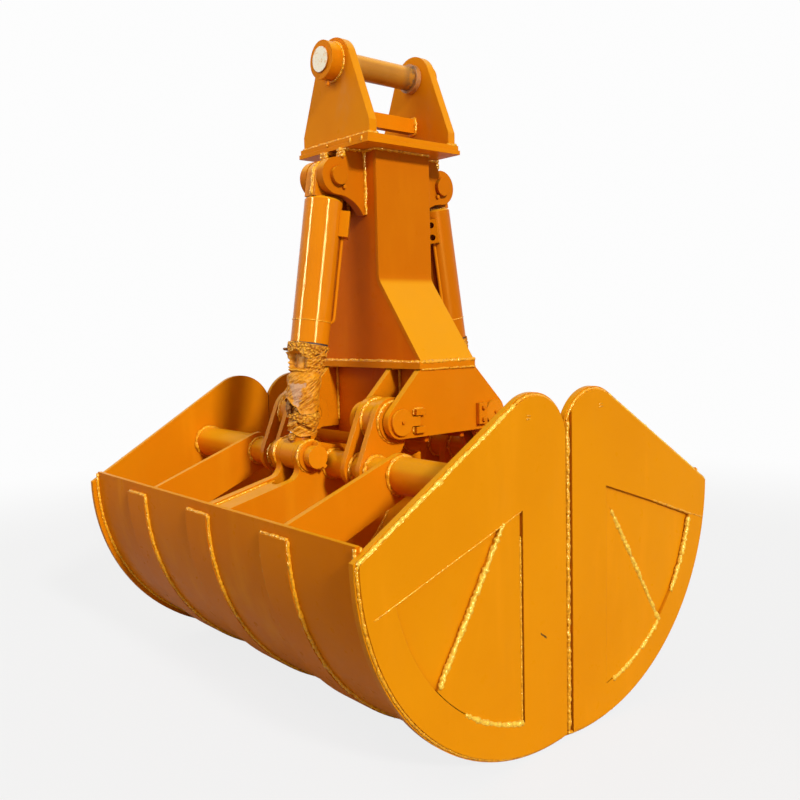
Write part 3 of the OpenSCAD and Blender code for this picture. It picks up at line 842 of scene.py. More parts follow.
@dataclass
class ShellLook:
    """Beads of one shell, drawn for the left side."""

    side: Side
    shop: Shop
    centre: Flat = (-90.0, 675.0)
    arc_r: float = 675.0
    ear: Flat = (-135.0, 886.0)
    ear_r: float = 144.0
    gap: float = 1.5
    edge_in: float = 8.0
    closing_in: float = 12.5
    end_in: float = 772.0
    end_mid: float = 790.0
    stand: float = 1.5
    second: float = 6.0
    closing_stand: float = 1.0
    seam_from: Flat = (-97.0, -88.0)
    seam_off: float = 2.0
    seam_short: float = 4.0
    rim: float = -180.0
    window_lift: float = 7.0
    faint_lift: float = 9.8
    faint_rows: Flat = (-5.0, 4.0)
    faint: tuple[Flat, ...] = ((-172.0, 0.0), (-163.0, 1.5), (-153.0, -1.0))
    skin_out: float = 654.0
    skin_in: float = 640.0
    skin_top: float = 709.0
    fan_r: float = 571.0
    tube: Flat = (-284.0, 774.0)
    collars: tuple[Flat, ...] = ((388.0, 44.5), (412.0, 57.0), (770.0, 57.0), (186.0, 44.5), (212.0, 44.5),
                                 (262.0, 44.5), (288.0, 44.5), (69.0, 44.5), (35.5, 44.5))
    lug: Flat = (-376.0, 809.0)
    lug_ring: Flat = (68.0, 50.5)
    hinge: Flat = (-208.5, 920.0)
    hubs: tuple[Flat, ...] = ((211.5, 70.5), (262.5, 70.5), (287.5, 64.5))
    rib_x: Flat = (389.0, 411.0)
    rib_from: float = -165.5
    rib_top: float = 679.0
    clevis_x: Flat = (36.5, 68.0)
    clevis_from: float = -163.0
    strap_w: float = 130.0
    strap_pitch: float = 425.0
    strap_end: float = 150.0
    strap_lift: float = 2.5
    strap_past: float = 1.0
    strap_turn: float = 0.3
    cover: tuple[Point, ...] = ((35.5, -728.0, 664.5), (35.5, -476.0, 722.0))
    lip_half: float = 768.0
    lip_in: float = 24.0
    lip_turn: float = -93.7
    lip_drop: float = 10.0

    def __post_init__(self) -> None:
        """Choose the body that carries the beads."""
        self.welds = Welds(self.shop, f"shell_{self.side.label}", f"_{self.side.label}")

    def lean(self) -> float:
        """Angle of the end plate's sloped edge, in radians."""
        dy, dz = self.ear[0] - self.centre[0] + self.arc_r, self.ear[1] - self.centre[1]
        return math.atan2(dz, dy) + math.asin(self.ear_r / math.hypot(dy, dz))

    def outline(self, x: float, inset: float) -> tuple[Path, Path, Path, Path]:
        """Edges of an end plate, moved in by an inset.

        Args:
            x: Station of the plate's face.
            inset: Distance from the plate's own edge.

        Returns:
            The curved edge, the sloped edge, the ear and the closing edge.
        """
        lean = self.lean()
        sin, cos = math.sin(lean), math.cos(lean)
        cy, cz = self.centre
        inner, r, ear_r = -self.gap - inset, self.arc_r - inset, self.ear_r - inset
        start = corner = (cy - self.arc_r + inset * sin, cz - inset * cos)
        slip = 0.0
        while math.hypot(start[0] - cy, start[1] - cz) > r:
            slip += 0.5
            start = (corner[0] + slip * cos, corner[1] + slip * sin)
        far = math.degrees(math.atan2(start[1] - cz, start[0] - cy))
        top = math.degrees(lean) + 90.0
        curve = arc(x, self.centre, r, -math.degrees(math.acos((inner - cy) / r)),
                    far - 360.0 if far > 0.0 else far)
        slope = [(x, *start), (x, *on_circle(self.ear, ear_r, top))]
        ear = arc(x, self.ear, ear_r, top, math.degrees(math.acos((inner - self.ear[0]) / ear_r)))
        return curve, slope, ear, [ear[-1], curve[0]]

    def both(self, *paths: Path) -> list[Path]:
        """Each path and its mirror image at the far end, on this side."""
        placed = [self.side.place(path) for path in paths]
        return [path for near in placed for path in (near, [(-x, y, z) for x, y, z in near])]

    def end_beads(self) -> None:
        """Beads round the doublers and between the end plates and the shell plate."""
        curve, slope, ear, _ = self.outline(self.end_mid + self.stand, self.edge_in)
        self.welds.add("doubler_edge", self.both(curve, ear), radius=4.8, lump=0.4)
        second = [(x + self.stand, y, z - self.second) for x, y, z in slope]
        self.welds.add("doubler_slope", self.both(slope, second), radius=5.6, lump=0.6, fresh=True)
        if self.side is Side.RIGHT:
            closing = self.outline(self.end_mid + self.closing_stand, self.closing_in)[3]
            self.welds.add("doubler_closing", self.both(closing), radius=8.0, lump=0.4)
        seams: list[Path] = []
        for r, start in zip((self.skin_out + self.stand, self.skin_in - self.stand), self.seam_from):
            seam = arc(self.end_in - self.seam_off, self.centre, r, start, self.rim)
            seams.append(seam + [(seam[-1][0], seam[-1][1], self.skin_top - self.seam_short)])
        self.welds.add("end_to_shell", self.both(*seams), radius=6.0, lump=0.4)

    def window_beads(self) -> None:
        """Beads along the fan-shaped window of the doublers."""
        window = WINDOWS[self.side]
        x, edge = self.end_mid + self.window_lift, self.end_mid + self.faint_lift
        rough = [[(x, *p) for p in window.spoke]]
        rough += [arc(x, self.centre, self.fan_r + window.fan_out, *fan) for fan in window.fans]
        self.welds.add("window", self.both(*rough), radius=8.0, lump=0.7, fresh=True)
        seam = [(x - window.seam_in, *p) for p in window.seam]
        self.welds.add("seam", self.both(seam), radius=4.2)
        faint = [[(edge, *p) for p in window.sector]]
        faint += [[(edge, y, window.ear_top + row + rise) for y, rise in self.faint]
                  for row in self.faint_rows]
        self.welds.add("sector", self.both(*faint), radius=2.2, lump=0.6)

    def strap_beads(self) -> None:
        """Beads round the wear straps."""
        cy, cz = self.centre
        start = -math.degrees(math.acos((-self.strap_end - cy) / self.skin_out))
        r = self.skin_out + self.strap_lift
        ends = ((cy - r, cz + self.stand), on_circle(self.centre, r, start + self.strap_turn))
        paths: list[Path] = []
        for i in (-1, 0, 1):
            low, high = (i * self.strap_pitch + s * self.strap_w / 2.0 for s in (-1, 1))
            paths += [arc(x, self.centre, r, start, self.rim)
                      for x in (low - self.strap_past, high + self.strap_past)]
            paths += [[(low, *end), (high, *end)] for end in ends]
        self.welds.add("straps", [self.side.place(path) for path in paths], radius=5.8, lump=0.5)

    def rib_beads(self) -> None:
        """Beads that hold the ribs, the tube and the arms."""
        r = self.skin_in - 1.0
        seats = [arc(x, self.centre, r, self.rib_from, self.rim) for x in self.rib_x]
        seats = [seat + [(seat[-1][0], seat[-1][1], self.rib_top)] for seat in seats]
        seats += [arc(x, self.centre, r, self.clevis_from, self.rim) for x in self.clevis_x]
        self.welds.add("ribs_to_shell", self.both(*seats), radius=6.0)
        collars = [arc(x, self.tube, r + 1.0, 0.0, 360.0, 8.0) for x, r in self.collars]
        self.welds.add("tube_collars", self.both(*collars), radius=6.8, lump=0.6)
        hubs = [arc(x, self.hinge, r, 0.0, 360.0, 6.0) for x, r in self.hubs]
        hubs.append(arc(self.lug_ring[0], self.lug, self.lug_ring[1], 0.0, 360.0, 8.0))
        self.welds.add("hubs", self.both(*hubs), radius=4.8, lump=0.6)

    def cover_beads(self) -> None:
        """Beads along the cover between the clevis ribs and along the cutting edge."""
        self.welds.add("cover", self.both(list(self.cover)), radius=4.5)
        y, z = on_circle(self.centre, self.skin_in - self.lip_in, self.lip_turn)
        lip = [(x, y, z - self.lip_drop) for x in (-self.lip_half, self.lip_half)]
        self.welds.add("cutting_edge", [self.side.place(lip)], radius=8.0)

    def build(self) -> None:
        """Add everything of this shell."""
        self.end_beads()
        self.window_beads()
        self.strap_beads()
        self.rib_beads()
        self.cover_beads()


@dataclass
class MastLook:
    """Beads of the mast, the head and the hinge box, drawn for one quarter of the plan."""

    shop: Shop
    top: float = 1799.0
    half_w: float = 123.0
    half_d: float = 118.0
    side_in: float = 97.0
    foot: float = 325.0
    base_top: float = 1103.0
    base_low: float = 1080.0
    box_feet: tuple[float, ...] = (299.0, 325.0, 159.0, 183.0)
    box_reach: float = 121.0
    box_seams: tuple[float, ...] = (299.0, 183.0, 159.0)
    box_y: float = 89.0
    box_low: float = 886.0
    head_floor: float = 1831.0
    lug_in: float = 157.0
    lug_out: float = 189.0
    lug_half: float = 181.0
    head_z: float = 2087.0
    bosses: tuple[Flat, ...] = ((-189.5, 61.0), (189.5, 58.0))
    bar_y: float = 156.0
    bar: tuple[Flat, ...] = (
        (15.5, 1897.0), (15.5, 1947.5), (-15.5, 1947.5), (-15.5, 1896.5), (15.5, 1896.5))
    plate_y: float = 201.5
    stitches: tuple[Point, ...] = ((97.0, 1806.0, 1826.0), (157.0, 1806.0, 1824.0), (-29.0, 1815.0, 1825.0))
    lug_x: Flat = (29.0, 65.0)
    lug_low: float = 1590.0
    lug_reach: tuple[Flat, ...] = ((-1.0, 203.0), (1.0, 218.0))
    lug_steps: tuple[float, ...] = (1796.0, 1786.0, 1777.0)
    keeper_x: float = 325.0
    keepers: tuple[Point, ...] = ((882.0, 902.0, 881.0), (938.0, 958.0, 959.0))
    keeper_y: Point = (-158.0, -157.0, -118.0)
    stand: float = 1.0
    end_lean: float = 3.0
    stitch_lean: float = 1.5
    lug_past: float = 2.0

    def __post_init__(self) -> None:
        """Choose the body that carries the beads."""
        self.welds = Welds(self.shop, "frame")

    def four(self, *paths: Path) -> list[Path]:
        """Each path in all four quarters of the plan."""
        return [[(sx * x, sy * y, z) for x, y, z in path]
                for path in paths for sx in (1, -1) for sy in (1, -1)]

    def mast_beads(self) -> None:
        """Beads of the mast's foot and top and of the hinge box."""
        ends = [[(0.0, self.half_d, z), (x, self.half_d, z), (x, self.side_in, z),
                 (x - self.end_lean, 0.0, z)]
                for x, z in ((self.foot + self.stand, self.base_top), (self.half_w + self.stand, self.top))]
        self.welds.add("mast_ends", self.four(*ends), radius=6.2, lump=0.5)
        box = [[(x, y, self.base_low) for y in (0.0, self.box_reach)] for x in self.box_feet]
        box += [[(x, self.box_y, z) for z in (self.box_low, self.base_low)] for x in self.box_seams]
        self.welds.add("hinge_box", self.four(*box), radius=5.0)

    def head_beads(self) -> None:
        """Beads of the head's lugs, bosses, bar and plates."""
        z = self.head_floor
        self.welds.add("head_lugs", self.four([
            (0.0, self.lug_out, z), (self.lug_half, self.lug_out, z), (self.lug_half, self.lug_in, z),
            (0.0, self.lug_in, z)]), radius=6.0, lump=0.5)
        rings = [[(x, y, z) for x, z in ring((0.0, self.head_z), r)] for y, r in self.bosses]
        self.welds.add("head_bosses", rings, radius=4.6)
        bars = [[(x, sy * self.bar_y, z) for x, z in self.bar] for sy in (1, -1)]
        self.welds.add("tie_bar", bars, radius=7.0, lump=0.6)
        marks = [[(x, face * self.plate_y, low), (x + self.stitch_lean, face * self.plate_y, high)]
                 for face in (-1, 1) for x, low, high in self.stitches]
        self.welds.add("plate_stitches", marks, radius=3.4, lump=0.5)

    def lug_beads(self) -> None:
        """Beads of the cylinder lugs and of the pin keepers."""
        paths: list[Path] = []
        for sy, reach in self.lug_reach:
            y, end = sy * self.half_d, sy * (reach - self.lug_past)
            paths += [[(sx * x, y, self.lug_low), (sx * x, y, self.top - self.stand),
                       (sx * x, sy * reach, self.top)] for sx in (1.0, -1.0) for x in self.lug_x]
            near, far = self.lug_x[0] - self.lug_past, self.lug_x[1] + self.lug_past
            paths += [[(sx * near, end, z), (sx * far, end, z)]
                      for sx in (1.0, -1.0) for z in self.lug_steps]
        self.welds.add("cylinder_lugs", paths, radius=7.0, lump=0.6)
        block, bar, tip = self.keeper_y
        keepers = [path for x in (self.keeper_x, -self.keeper_x) for low, high, outer in self.keepers
                   for path in ([(x, block, low), (x, block, high)], [(x, bar, outer), (x, tip, outer)])]
        self.welds.add("keepers", keepers, radius=3.4)

    def build(self) -> None:
        """Add everything of the mast."""
        self.mast_beads()
        self.head_beads()
        self.lug_beads()


def eased(table: Sequence[Flat], at: float) -> float:
    """Value of a table at a place, eased between its rows.

    Args:
        table: Rows of place and value.
        at: The place.

    Returns:
        The value.
    """
    if at <= table[0][0]:
        return table[0][1]
    for (a, ra), (b, rb) in zip(table, table[1:]):
        if at <= b:
            t = (at - a) / (b - a)
            return ra + (rb - ra) * t * t * (3.0 - 2.0 * t)
    return table[-1][1]


def within(low: float, high: float, soft: float, at: float) -> float:
    """1 between two values, falling to 0 outside them over a soft distance."""
    t = max(0.0, min(1.0, (at - low + soft) / soft, (high + soft - at) / soft))
    return t * t * (3.0 - 2.0 * t)


@dataclass(frozen=True)
class Wind:
    """One length of cloth wound round the rod, by the angle from the outer near side in degrees.

    The angle is 0 towards the near outer corner of the bucket and 90 towards its near inner corner. The
    edges are given as distance from the top pin by angle, the radius by distance from the top pin. The
    mouth of the pouch, its cheek and the slit are given by first value, last value and softness. The
    pouch's lip has a share of its depth, a distance and a width. The slit starts at a distance that
    changes by so much a degree.
    """

    name: str
    top: tuple[Flat, ...]
    foot: tuple[Flat, ...]
    radius: tuple[Flat, ...]
    hang: float = 0.0
    fold: float = 5.0
    gather: float = 0.3
    slant: float = 0.016
    seed: float = 0.0
    thick: float = 0.0
    knob: float = 0.0
    knob_pitch: float = 7.5
    knob_reach: float = 0.72
    curl: float = 2.5
    pouch: float = 0.0
    mouth_turn: Point = (-74.0, -16.0, 16.0)
    mouth_along: Point = (588.0, 627.0, 12.0)
    lip: Point = (0.30, 640.0, 5.0)
    cheek: float = 0.25
    cheek_turn: Point = (-104.0, -92.0, 14.0)
    cheek_along: Point = (585.0, 630.0, 12.0)
    slit: float = 0.0
    slit_turn: Point = (-14.0, 48.0, 8.0)
    slit_from: Flat = (811.0, 0.242)
    slit_width: float = 7.0
    lap: float = 36.0
    around: int = 240
    along: int = 90

    def folds(self, s: float, turn: float, t: float) -> float:
        """Depth of the folds at a place.

        Args:
            s: Distance from the top pin along the rod.
            turn: Angle in degrees.
            t: Share of the way from the top edge to the foot.

        Returns:
            Millimetres to add to the radius.
        """
        a = math.radians(turn)
        twist = a + self.slant * s
        spot = Vector((math.cos(twist), math.sin(twist), s * 0.011 + self.seed))
        pillow = abs(noise.noise(spot * 1.5)) * 2.4
        crease = 1.0 - abs(noise.noise(spot * 3.0 + Vector((4.0, 1.0, 0.0)))) * 2.6
        fine = 1.0 - abs(noise.noise(spot * 6.6 + Vector((0.0, 3.0, 2.0)))) * 2.4
        across = Vector((math.cos(a) * 0.9, math.sin(a) * 0.9, s * 0.065 + self.seed))
        cross = 1.0 - abs(noise.noise(across)) * 2.6
        calm = max(0.3, min(1.0, t * 7.0, (1.0 - t) * 7.0))
        depth = self.fold * calm * (0.75 * pillow + 0.5 * crease + 0.26 * fine + self.gather * cross - 0.85)
        return depth + self.curl * max(0.0, t * 12.0 - 11.0)

    def reach(self, s: float, turn: float, t: float) -> float:
        """Radius of the cloth at a place.

        Args:
            s: Distance from the top pin along the rod.
            turn: Angle in degrees.
            t: Share of the way from the top edge to the foot.

        Returns:
            The radius.
        """
        a = math.radians(turn)
        phi = (turn + 180.0) % 360.0 - 180.0
        r = eased(self.radius, s) - self.hang * math.sin(a) + self.folds(s, turn, t)
        if self.pouch:
            mouth = within(*self.mouth_turn, phi)
            share, middle, width = self.lip
            r -= self.pouch * mouth * within(*self.mouth_along, s)
            r += share * self.pouch * mouth * math.exp(-((s - middle) / width) ** 2)
            r += self.cheek * self.pouch * within(*self.cheek_turn, phi) * within(*self.cheek_along, s)
        start, slope = self.slit_from
        past = s - (start + phi * slope)
        if self.slit and past > 0.0:
            r -= self.slit * within(*self.slit_turn, phi) * math.exp(-(past / self.slit_width) ** 2)
        if self.knob:
            spot = Vector((r * math.cos(a), r * math.sin(a), s)) / self.knob_pitch
            near = noise.voronoi(spot)[0][0]
            r += self.knob * max(0.0, 1.0 - (near / self.knob_reach) ** 2)
        return r


@dataclass(frozen=True)
class Lump:
    """A knotted or bunched end of cloth.

    The place is the distance from the top pin, the radius and the angle of its middle. The size is half of
    its size along the rod, away from it and round it. The seed is where its folds start.
    """

    name: str
    place: Point
    size: Point
    seed: float
    around: int = 48
    over: int = 30


@dataclass
class CylinderLook:
    """Beads and cloth of one cylinder, drawn for the left side along its axis from the top pin."""

    side: Side
    shop: Shop
    top: Flat = (-230.5, 1708.0)
    pin: Flat = (-376.0, 809.0)
    barrel_r: float = 63.0
    cap: float = 71.0
    shoulder: float = 53.0
    eye_face: float = 28.5
    eye_r: float = 58.0
    eye_block: Flat = (7.0, 12.0)
    eye_span: float = 0.72
    eye_step: float = 20.0
    eye_turns: tuple[float, ...] = (136.0, 120.0, 105.0, 90.0)
    hoop: float = 474.0
    wrap_to: float = 856.0
    least: float = 37.5
    facing: float = -34.6
    bald: Point = (713.0, 56.0, -30.0)
    keep: float = 0.5
    layer: float = 1.6
    hem: float = 2.0
    turns: float = 1.1
    hood: Wind = Wind(
        "hood", ((-180.0, 552.0), (180.0, 552.0)), ((-180.0, 652.0), (180.0, 652.0)),
        ((552.0, 61.0), (575.0, 59.0), (596.0, 55.5), (618.0, 53.0), (640.0, 48.0), (652.0, 45.0)),
        hang=1.5, fold=7.4, gather=0.6, slant=0.012, seed=2.0, pouch=24.0, along=72)
    sleeve: Wind = Wind(
        "sleeve", ((-180.0, 640.0), (-60.0, 645.0), (20.0, 638.0), (90.0, 642.0), (180.0, 640.0)),
        ((-180.0, 772.0), (-120.0, 748.0), (-69.0, 733.0), (-26.0, 757.0), (-4.0, 781.0), (30.0, 776.0),
         (65.0, 763.0), (120.0, 768.0), (180.0, 772.0)),
        ((638.0, 45.0), (648.0, 49.0), (664.0, 53.0), (720.0, 53.5), (760.0, 51.0), (784.0, 48.5)),
        hang=4.0, gather=0.25, slant=0.020, seed=11.0, curl=4.0, around=260, along=100)
    skirt: Wind = Wind(
        "skirt", ((-180.0, 738.0), (-60.0, 728.0), (0.0, 765.0), (180.0, 755.0)),
        ((-180.0, 846.0), (-60.0, 838.0), (0.0, 852.0), (60.0, 846.0), (180.0, 846.0)),
        ((728.0, 40.0), (770.0, 42.0), (790.0, 45.0), (812.0, 45.0), (836.0, 42.0), (852.0, 39.5)),
        hang=-5.0, fold=6.6, gather=0.5, slant=0.030, seed=23.0, slit=19.0, curl=3.0, around=220, along=84)
    band: Wind = Wind(
        "band", ((-180.0, 550.0), (-90.0, 547.0), (-20.0, 549.0), (21.0, 555.0), (62.0, 554.0),
                 (120.0, 556.0), (180.0, 550.0)),
        ((-180.0, 575.0), (-90.0, 577.0), (-62.0, 581.0), (-36.0, 574.0), (-10.0, 596.0), (4.0, 599.0),
         (30.0, 582.0), (60.0, 562.0), (120.0, 570.0), (180.0, 575.0)),
        ((545.0, 63.5), (560.0, 64.5), (580.0, 63.5), (600.0, 61.0)),
        hang=2.0, fold=1.6, gather=0.2, seed=31.0, thick=6.0, knob=4.6, knob_pitch=8.5, lap=0.0, curl=0.0,
        around=360, along=34)
    fringe: Wind = Wind(
        "fringe", ((-180.0, 782.0), (-50.0, 782.0), (-10.0, 780.0), (20.0, 776.0), (80.0, 770.0),
                   (130.0, 776.0), (180.0, 782.0)),
        ((-180.0, 796.0), (-50.0, 795.0), (-10.0, 804.0), (40.0, 816.0), (80.0, 812.0), (130.0, 800.0),
         (180.0, 796.0)),
        ((768.0, 47.0), (790.0, 48.0), (816.0, 46.0)),
        hang=-4.5, fold=2.6, seed=41.0, thick=7.0, knob=6.0, knob_pitch=11.0, lap=0.0, curl=0.0,
        around=300, along=26)
    bunch: Lump = Lump("bunch", (757.0, 46.0, -74.0), (24.0, 12.0, 17.0), 3.0)
    knot: Lump = Lump("knot", (857.0, 38.0, -48.0), (13.0, 8.0, 16.0), 8.0)
    end: Lump = Lump("end", (573.0, 73.0, -94.0), (4.5, 12.0, 7.0), 14.0)

    @property
    def rod_body(self) -> str:
        """Body of the rod."""
        return f"piston_rod_{self.side.label}"

    @property
    def down(self) -> Vector:
        """Direction of the rod."""
        return Vector((0.0, self.pin[0] - self.top[0], self.pin[1] - self.top[1])).normalized()

    def at(self, s: float, x: float, inward: float) -> Point:
        """A point by its distance from the top pin along the axis, from the axis along X and inward."""
        down = self.down
        return tuple(Vector((x, *self.top)) + down * s + Vector((0.0, -down.z, down.y)) * inward)

    def faced(self, s: float, radius: float, turn: float) -> Point:
        """A point by its distance along the axis, radius and angle in degrees from the near outer side."""
        return self.at(s, *on_circle((0.0, 0.0), radius, turn + self.facing))

    def wound(self, cloth: Wind, finish: bpy.types.Material) -> bpy.types.Object:
        """Build one wound cloth: a lapped sheet, or a closed padded ring where it is thick.

        Args:
            cloth: The cloth.
            finish: Its finish.

        Returns:
            The piece.
        """
        closed = cloth.thick > 0.0
        columns = cloth.around if closed else cloth.around + 1
        rows = cloth.along + 1 + (2 if closed else 0)
        points: list[Point] = []
        for i in range(columns):
            turn = -180.0 - cloth.lap / 2.0 + (360.0 + cloth.lap) * i / cloth.around
            phi = (turn + 180.0) % 360.0 - 180.0
            top, foot = eased(cloth.top, phi), eased(cloth.foot, phi)
            lift = 0.0 if closed else self.layer * i / cloth.around
            column: list[Flat] = []
            for j in range(cloth.along + 1):
                t = j / cloth.along
                s = top + (foot - top) * t
                column.append((s, max(cloth.reach(s, turn, t) + lift, self.least + lift)))
            if closed:
                column.insert(0, (top + self.hem, column[0][1] - cloth.thick))
                column.append((foot - self.hem, column[-1][1] - cloth.thick))
            points += [self.faced(s, r, turn) for s, r in column]
        faces: list[tuple[int, ...]] = []
        for i in range(cloth.around):
            a, b = i * rows, ((i + 1) % columns) * rows
            faces += [(a + j, a + j + 1, b + j + 1, b + j) for j in range(rows - 1)]
            if closed:
                faces.append((a + rows - 1, a, b, b + rows - 1))
        return add_mesh(f"wrap_{cloth.name}_{self.side.label}", self.side.place(points), faces, finish)

    def bunched(self, lump: Lump, finish: bpy.types.Material) -> bpy.types.Object:
        """Build one bunched end of cloth.

        Args:
            lump: The lump.
            finish: Its finish.

        Returns:
            The piece.
        """
        points: list[Point] = []
        for i in range(lump.around):
            a = 2.0 * math.pi * i / lump.around
            for k in range(lump.over + 1):
                b = math.pi * k / lump.over
                way = Vector((math.cos(b), math.sin(b) * math.cos(a), math.sin(b) * math.sin(a)))
                spot = way * 1.3 + Vector((lump.seed, 0.0, 0.0))
                swell = 0.72 + 0.55 * abs(noise.noise(spot * 1.3)) + 0.26 * (
                    1.0 - abs(noise.noise(spot * 3.0)) * 2.4)
                along, out, aside = (way[n] * lump.size[n] * swell for n in range(3))
                turn = lump.place[2] + math.degrees(aside / lump.place[1])
                points.append(self.faced(lump.place[0] + along, lump.place[1] + out, turn))
        faces: list[tuple[int, ...]] = []
        for i in range(lump.around):
            a, b = i * (lump.over + 1), ((i + 1) % lump.around) * (lump.over + 1)
            faces += [(a + k, a + k + 1, b + k + 1, b + k) for k in range(lump.over)]
        return add_mesh(f"wrap_{lump.name}_{self.side.label}", self.side.place(points), faces, finish)

    def beads(self) -> None:
        """Beads of the barrel."""
        welds = Welds(self.shop, f"cylinder_{self.side.label}", f"_{self.side.label}")
        hoop = [self.at(self.hoop, *spot) for spot in ring((0.0, 0.0), self.barrel_r)]
        welds.add("ring", [self.side.place(hoop)], radius=2.0, lump=0.1)
        span, step = self.shoulder * self.eye_span, self.eye_step
        eye = [[self.at(self.cap, x, y) for y in (-span, -step, 0.0, step, span)]
               for x in (self.eye_face, -self.eye_face)]
        face = [on_circle((0.0, 0.0), self.eye_r, turn) for turn in self.eye_turns]
        eye += [[self.at(along, x, -out) for along, out in (*face, (self.cap, self.eye_r))]
                for x in self.eye_block]
        welds.add("eye", [self.side.place(path) for path in eye], radius=5.0, lump=0.6)

    def build(self) -> None:
        """Add everything of this cylinder."""
        self.beads()
        bald = self.side.place([self.faced(*self.bald)])[0]
        cloth = self.shop.sleeve(self.side, tuple(c * MM for c in bald))
        hood, sleeve, skirt = (self.wound(wind, cloth) for wind in (self.hood, self.sleeve, self.skirt))
        band, fringe = (self.wound(wind, self.shop.band) for wind in (self.band, self.fringe))
        bunch = self.bunched(self.bunch, self.shop.dark_cloth)
        knot = self.bunched(self.knot, self.shop.band)
        end = self.bunched(self.end, self.shop.dark_cloth)
        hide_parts(f"rod_wrap_{self.side.label}")
        anchor = [c * MM for c in self.side.place([self.at(self.wrap_to, 0.0, 0.0)])[0]]
        for piece in (hood, sleeve, skirt, band, fringe, bunch, knot, end):
            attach(piece, self.rod_body)
            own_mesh(piece)
            LOG.info("piece %s on %s", piece.name, self.rod_body)


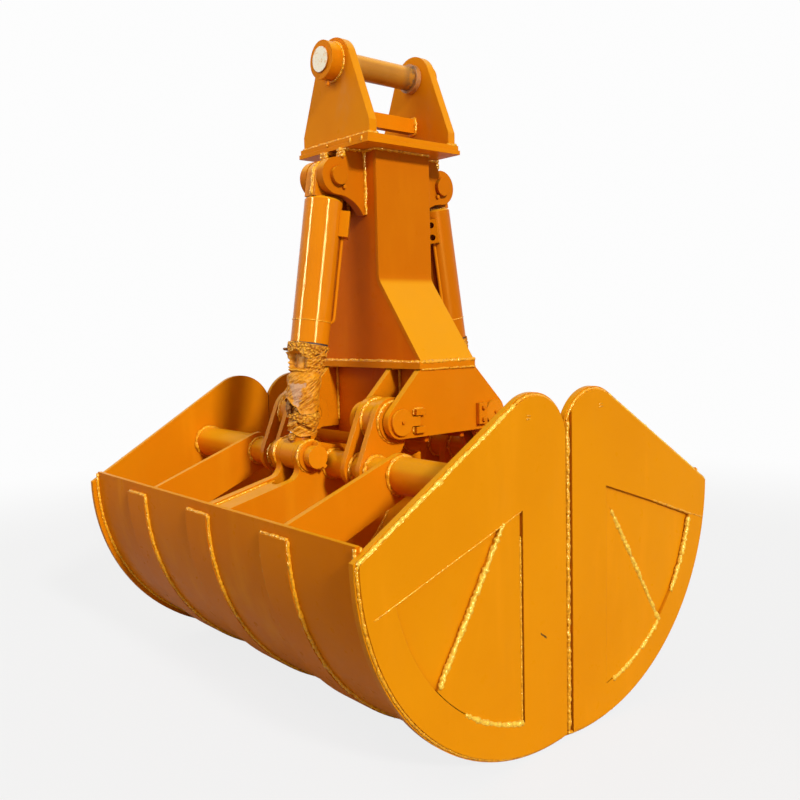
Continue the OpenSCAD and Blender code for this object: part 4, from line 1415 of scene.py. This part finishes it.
@dataclass
class Studio:
    """Floor, lights and camera, in metres."""

    spot: Point = (2.3342, -1.9392, 1.2214)
    turns: Point = (49.311, 4.977, -1.348)
    focal: float = 860.0
    frame: float = 800.0
    sensor: float = 36.0
    sight: float = 200.0
    backdrop: Colour = (0.98, 0.98, 0.98)
    floor_tone: Colour = (0.50, 0.50, 0.50)
    floor_half: float = 60000.0
    fade: Flat = (2.6, 5.5)
    glow: float = 0.84
    sky: Colour = (1.0, 0.93, 0.84)
    ambient: float = 0.10
    zenith: float = 0.46
    horizon: Flat = (-0.2, 1.0)
    sun_way: Point = (0.85, -0.14, 0.46)
    sun_power: float = 2.6
    sun_soft: float = 7.0
    strips: tuple[float, ...] = (-106.0, -5.0)
    strip_away: float = 5.0
    strip_up: float = 2.5
    strip_size: Flat = (0.8, 3.8)
    strip_power: float = 560.0
    side_spot: Point = (-0.50, -2.10, 2.90)
    side_aim: Point = (0.0, 0.0, 1.9)
    side_size: Flat = (1.2, 1.2)
    side_power: float = 19.0

    def camera(self) -> None:
        """Place the camera at the measured viewpoint."""
        yaw, pitch, roll = (math.radians(a) for a in self.turns)
        level = math.cos(pitch)
        ahead = Vector((-math.sin(yaw) * level, math.cos(yaw) * level, -math.sin(pitch)))
        right = Vector((math.cos(yaw), math.sin(yaw), 0.0))
        up = right.cross(ahead)
        across = right * math.cos(roll) + up * math.sin(roll)
        above = up * math.cos(roll) - right * math.sin(roll)
        lens = bpy.data.cameras.new("camera")
        lens.sensor_fit = "HORIZONTAL"
        lens.sensor_width = self.sensor
        lens.lens = self.focal / self.frame * self.sensor
        lens.clip_end = self.sight
        camera = bpy.data.objects.new("camera", lens)
        camera.matrix_world = Matrix.Translation(self.spot) @ Matrix(
            (across, above, -ahead)).transposed().to_4x4()
        bpy.context.scene.collection.objects.link(camera)
        bpy.context.scene.camera = camera

    def floor(self) -> None:
        """Lay a wide pale floor that fades into the backdrop far from the object."""
        material, g = blank("floor")
        far = g.vector("LENGTH", g.place(LEVEL), output="Value")
        ground = g.node("ShaderNodeBsdfDiffuse", {}, {"Color": (*self.floor_tone, 1.0)})
        glow = g.node("ShaderNodeEmission", {}, {"Color": (*self.backdrop, 1.0), "Strength": 1.0})
        seen = g.node("ShaderNodeLightPath", output="Is Camera Ray")
        share = (far.above(*self.fade) * (1.0 - self.glow) + self.glow) * seen
        g.finish(g.node("ShaderNodeMixShader", {}, {0: share, 1: ground, 2: glow}))
        half = self.floor_half
        corners = [(-half, -half, 0.0), (half, -half, 0.0), (half, half, 0.0), (-half, half, 0.0)]
        floor = add_mesh("floor", corners, [(0, 1, 2, 3)], material, smooth=False)

    def world(self) -> None:
        """Light the scene evenly and show the backdrop's colour to the camera and in reflections."""
        world = bpy.data.worlds.new("studio")
        bpy.context.scene.world = world
        g = Graph(world)
        rays = [g.node("ShaderNodeLightPath", output=f"Is {kind} Ray")
                for kind in ("Camera", "Glossy", "Transmission")]
        seen = (rays[0] + rays[1] + rays[2]).above(0.0, 1.0)
        shown = g.node("ShaderNodeBackground", {}, {"Color": (*self.backdrop, 1.0), "Strength": 1.0})
        up = g.node("ShaderNodeTexCoord", output="Generated").part(2)
        strength = up.above(*self.horizon) * (self.zenith - self.ambient) + self.ambient
        fill = g.node("ShaderNodeBackground", {}, {"Color": (*self.sky, 1.0), "Strength": strength})
        both = g.node("ShaderNodeMixShader", {}, {0: seen, 1: fill, 2: shown})
        g.node("ShaderNodeOutputWorld", {}, {"Surface": both})

    def lamp(self, name: str, kind: str, power: float, way: Vector) -> bpy.types.Object:
        """Hang one lamp.

        Args:
            name: Name of the lamp.
            kind: Kind of lamp.
            power: Its power, in watts for a panel.
            way: Direction from what it lights to the lamp.

        Returns:
            The lamp.
        """
        data = bpy.data.lights.new(name, kind)
        data.energy = power
        lamp = bpy.data.objects.new(name, data)
        lamp.rotation_euler = way.to_track_quat("Z", "Y").to_euler()
        bpy.context.scene.collection.objects.link(lamp)
        return lamp

    def panel(self, name: str, spot: Point, aim: Point, size: Flat, power: float) -> bpy.types.Object:
        """Hang an upright rectangular lamp that the camera can't see.

        Args:
            name: Name of the lamp.
            spot: Where it hangs.
            aim: Point that it faces.
            size: Width and height.
            power: Power in watts.

        Returns:
            The lamp.
        """
        lamp = self.lamp(name, "AREA", power, Vector(spot) - Vector(aim))
        lamp.data.shape = "RECTANGLE"
        lamp.data.size, lamp.data.size_y = size
        lamp.location = spot
        lamp.visible_camera = False
        return lamp

    def lights(self) -> None:
        """Hang a far wide lamp, a soft one beside the head, and tall strips that show in glossy paint."""
        key = self.lamp("key", "SUN", self.sun_power, Vector(self.sun_way))
        key.data.angle = math.radians(self.sun_soft)
        side = self.panel("side", self.side_spot, self.side_aim, self.side_size, self.side_power)
        side.visible_glossy = False
        for i, turn in enumerate(self.strips):
            spot = (*on_circle((0.0, 0.0), self.strip_away, turn), self.strip_up)
            strip = self.panel(f"strip_{i + 1}", spot, (0.0, 0.0, self.strip_up), self.strip_size,
                               self.strip_power)
            strip.visible_diffuse = False

    def build(self) -> None:
        """Set up the whole studio."""
        bpy.context.scene.view_settings.view_transform = "Standard"
        self.camera()
        self.floor()
        self.world()
        self.lights()
        LOG.info("studio ready")


def main() -> None:
    """Build the looks in order."""
    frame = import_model()
    Studio().build()
    shop = Shop()
    shop.dress(frame["nodes"])
    MastLook(shop).build()
    for side in Side:
        ShellLook(side, shop).build()
        CylinderLook(side, shop).build()


if __name__ == "__main__":
    logging.basicConfig(level=logging.INFO)
    main()
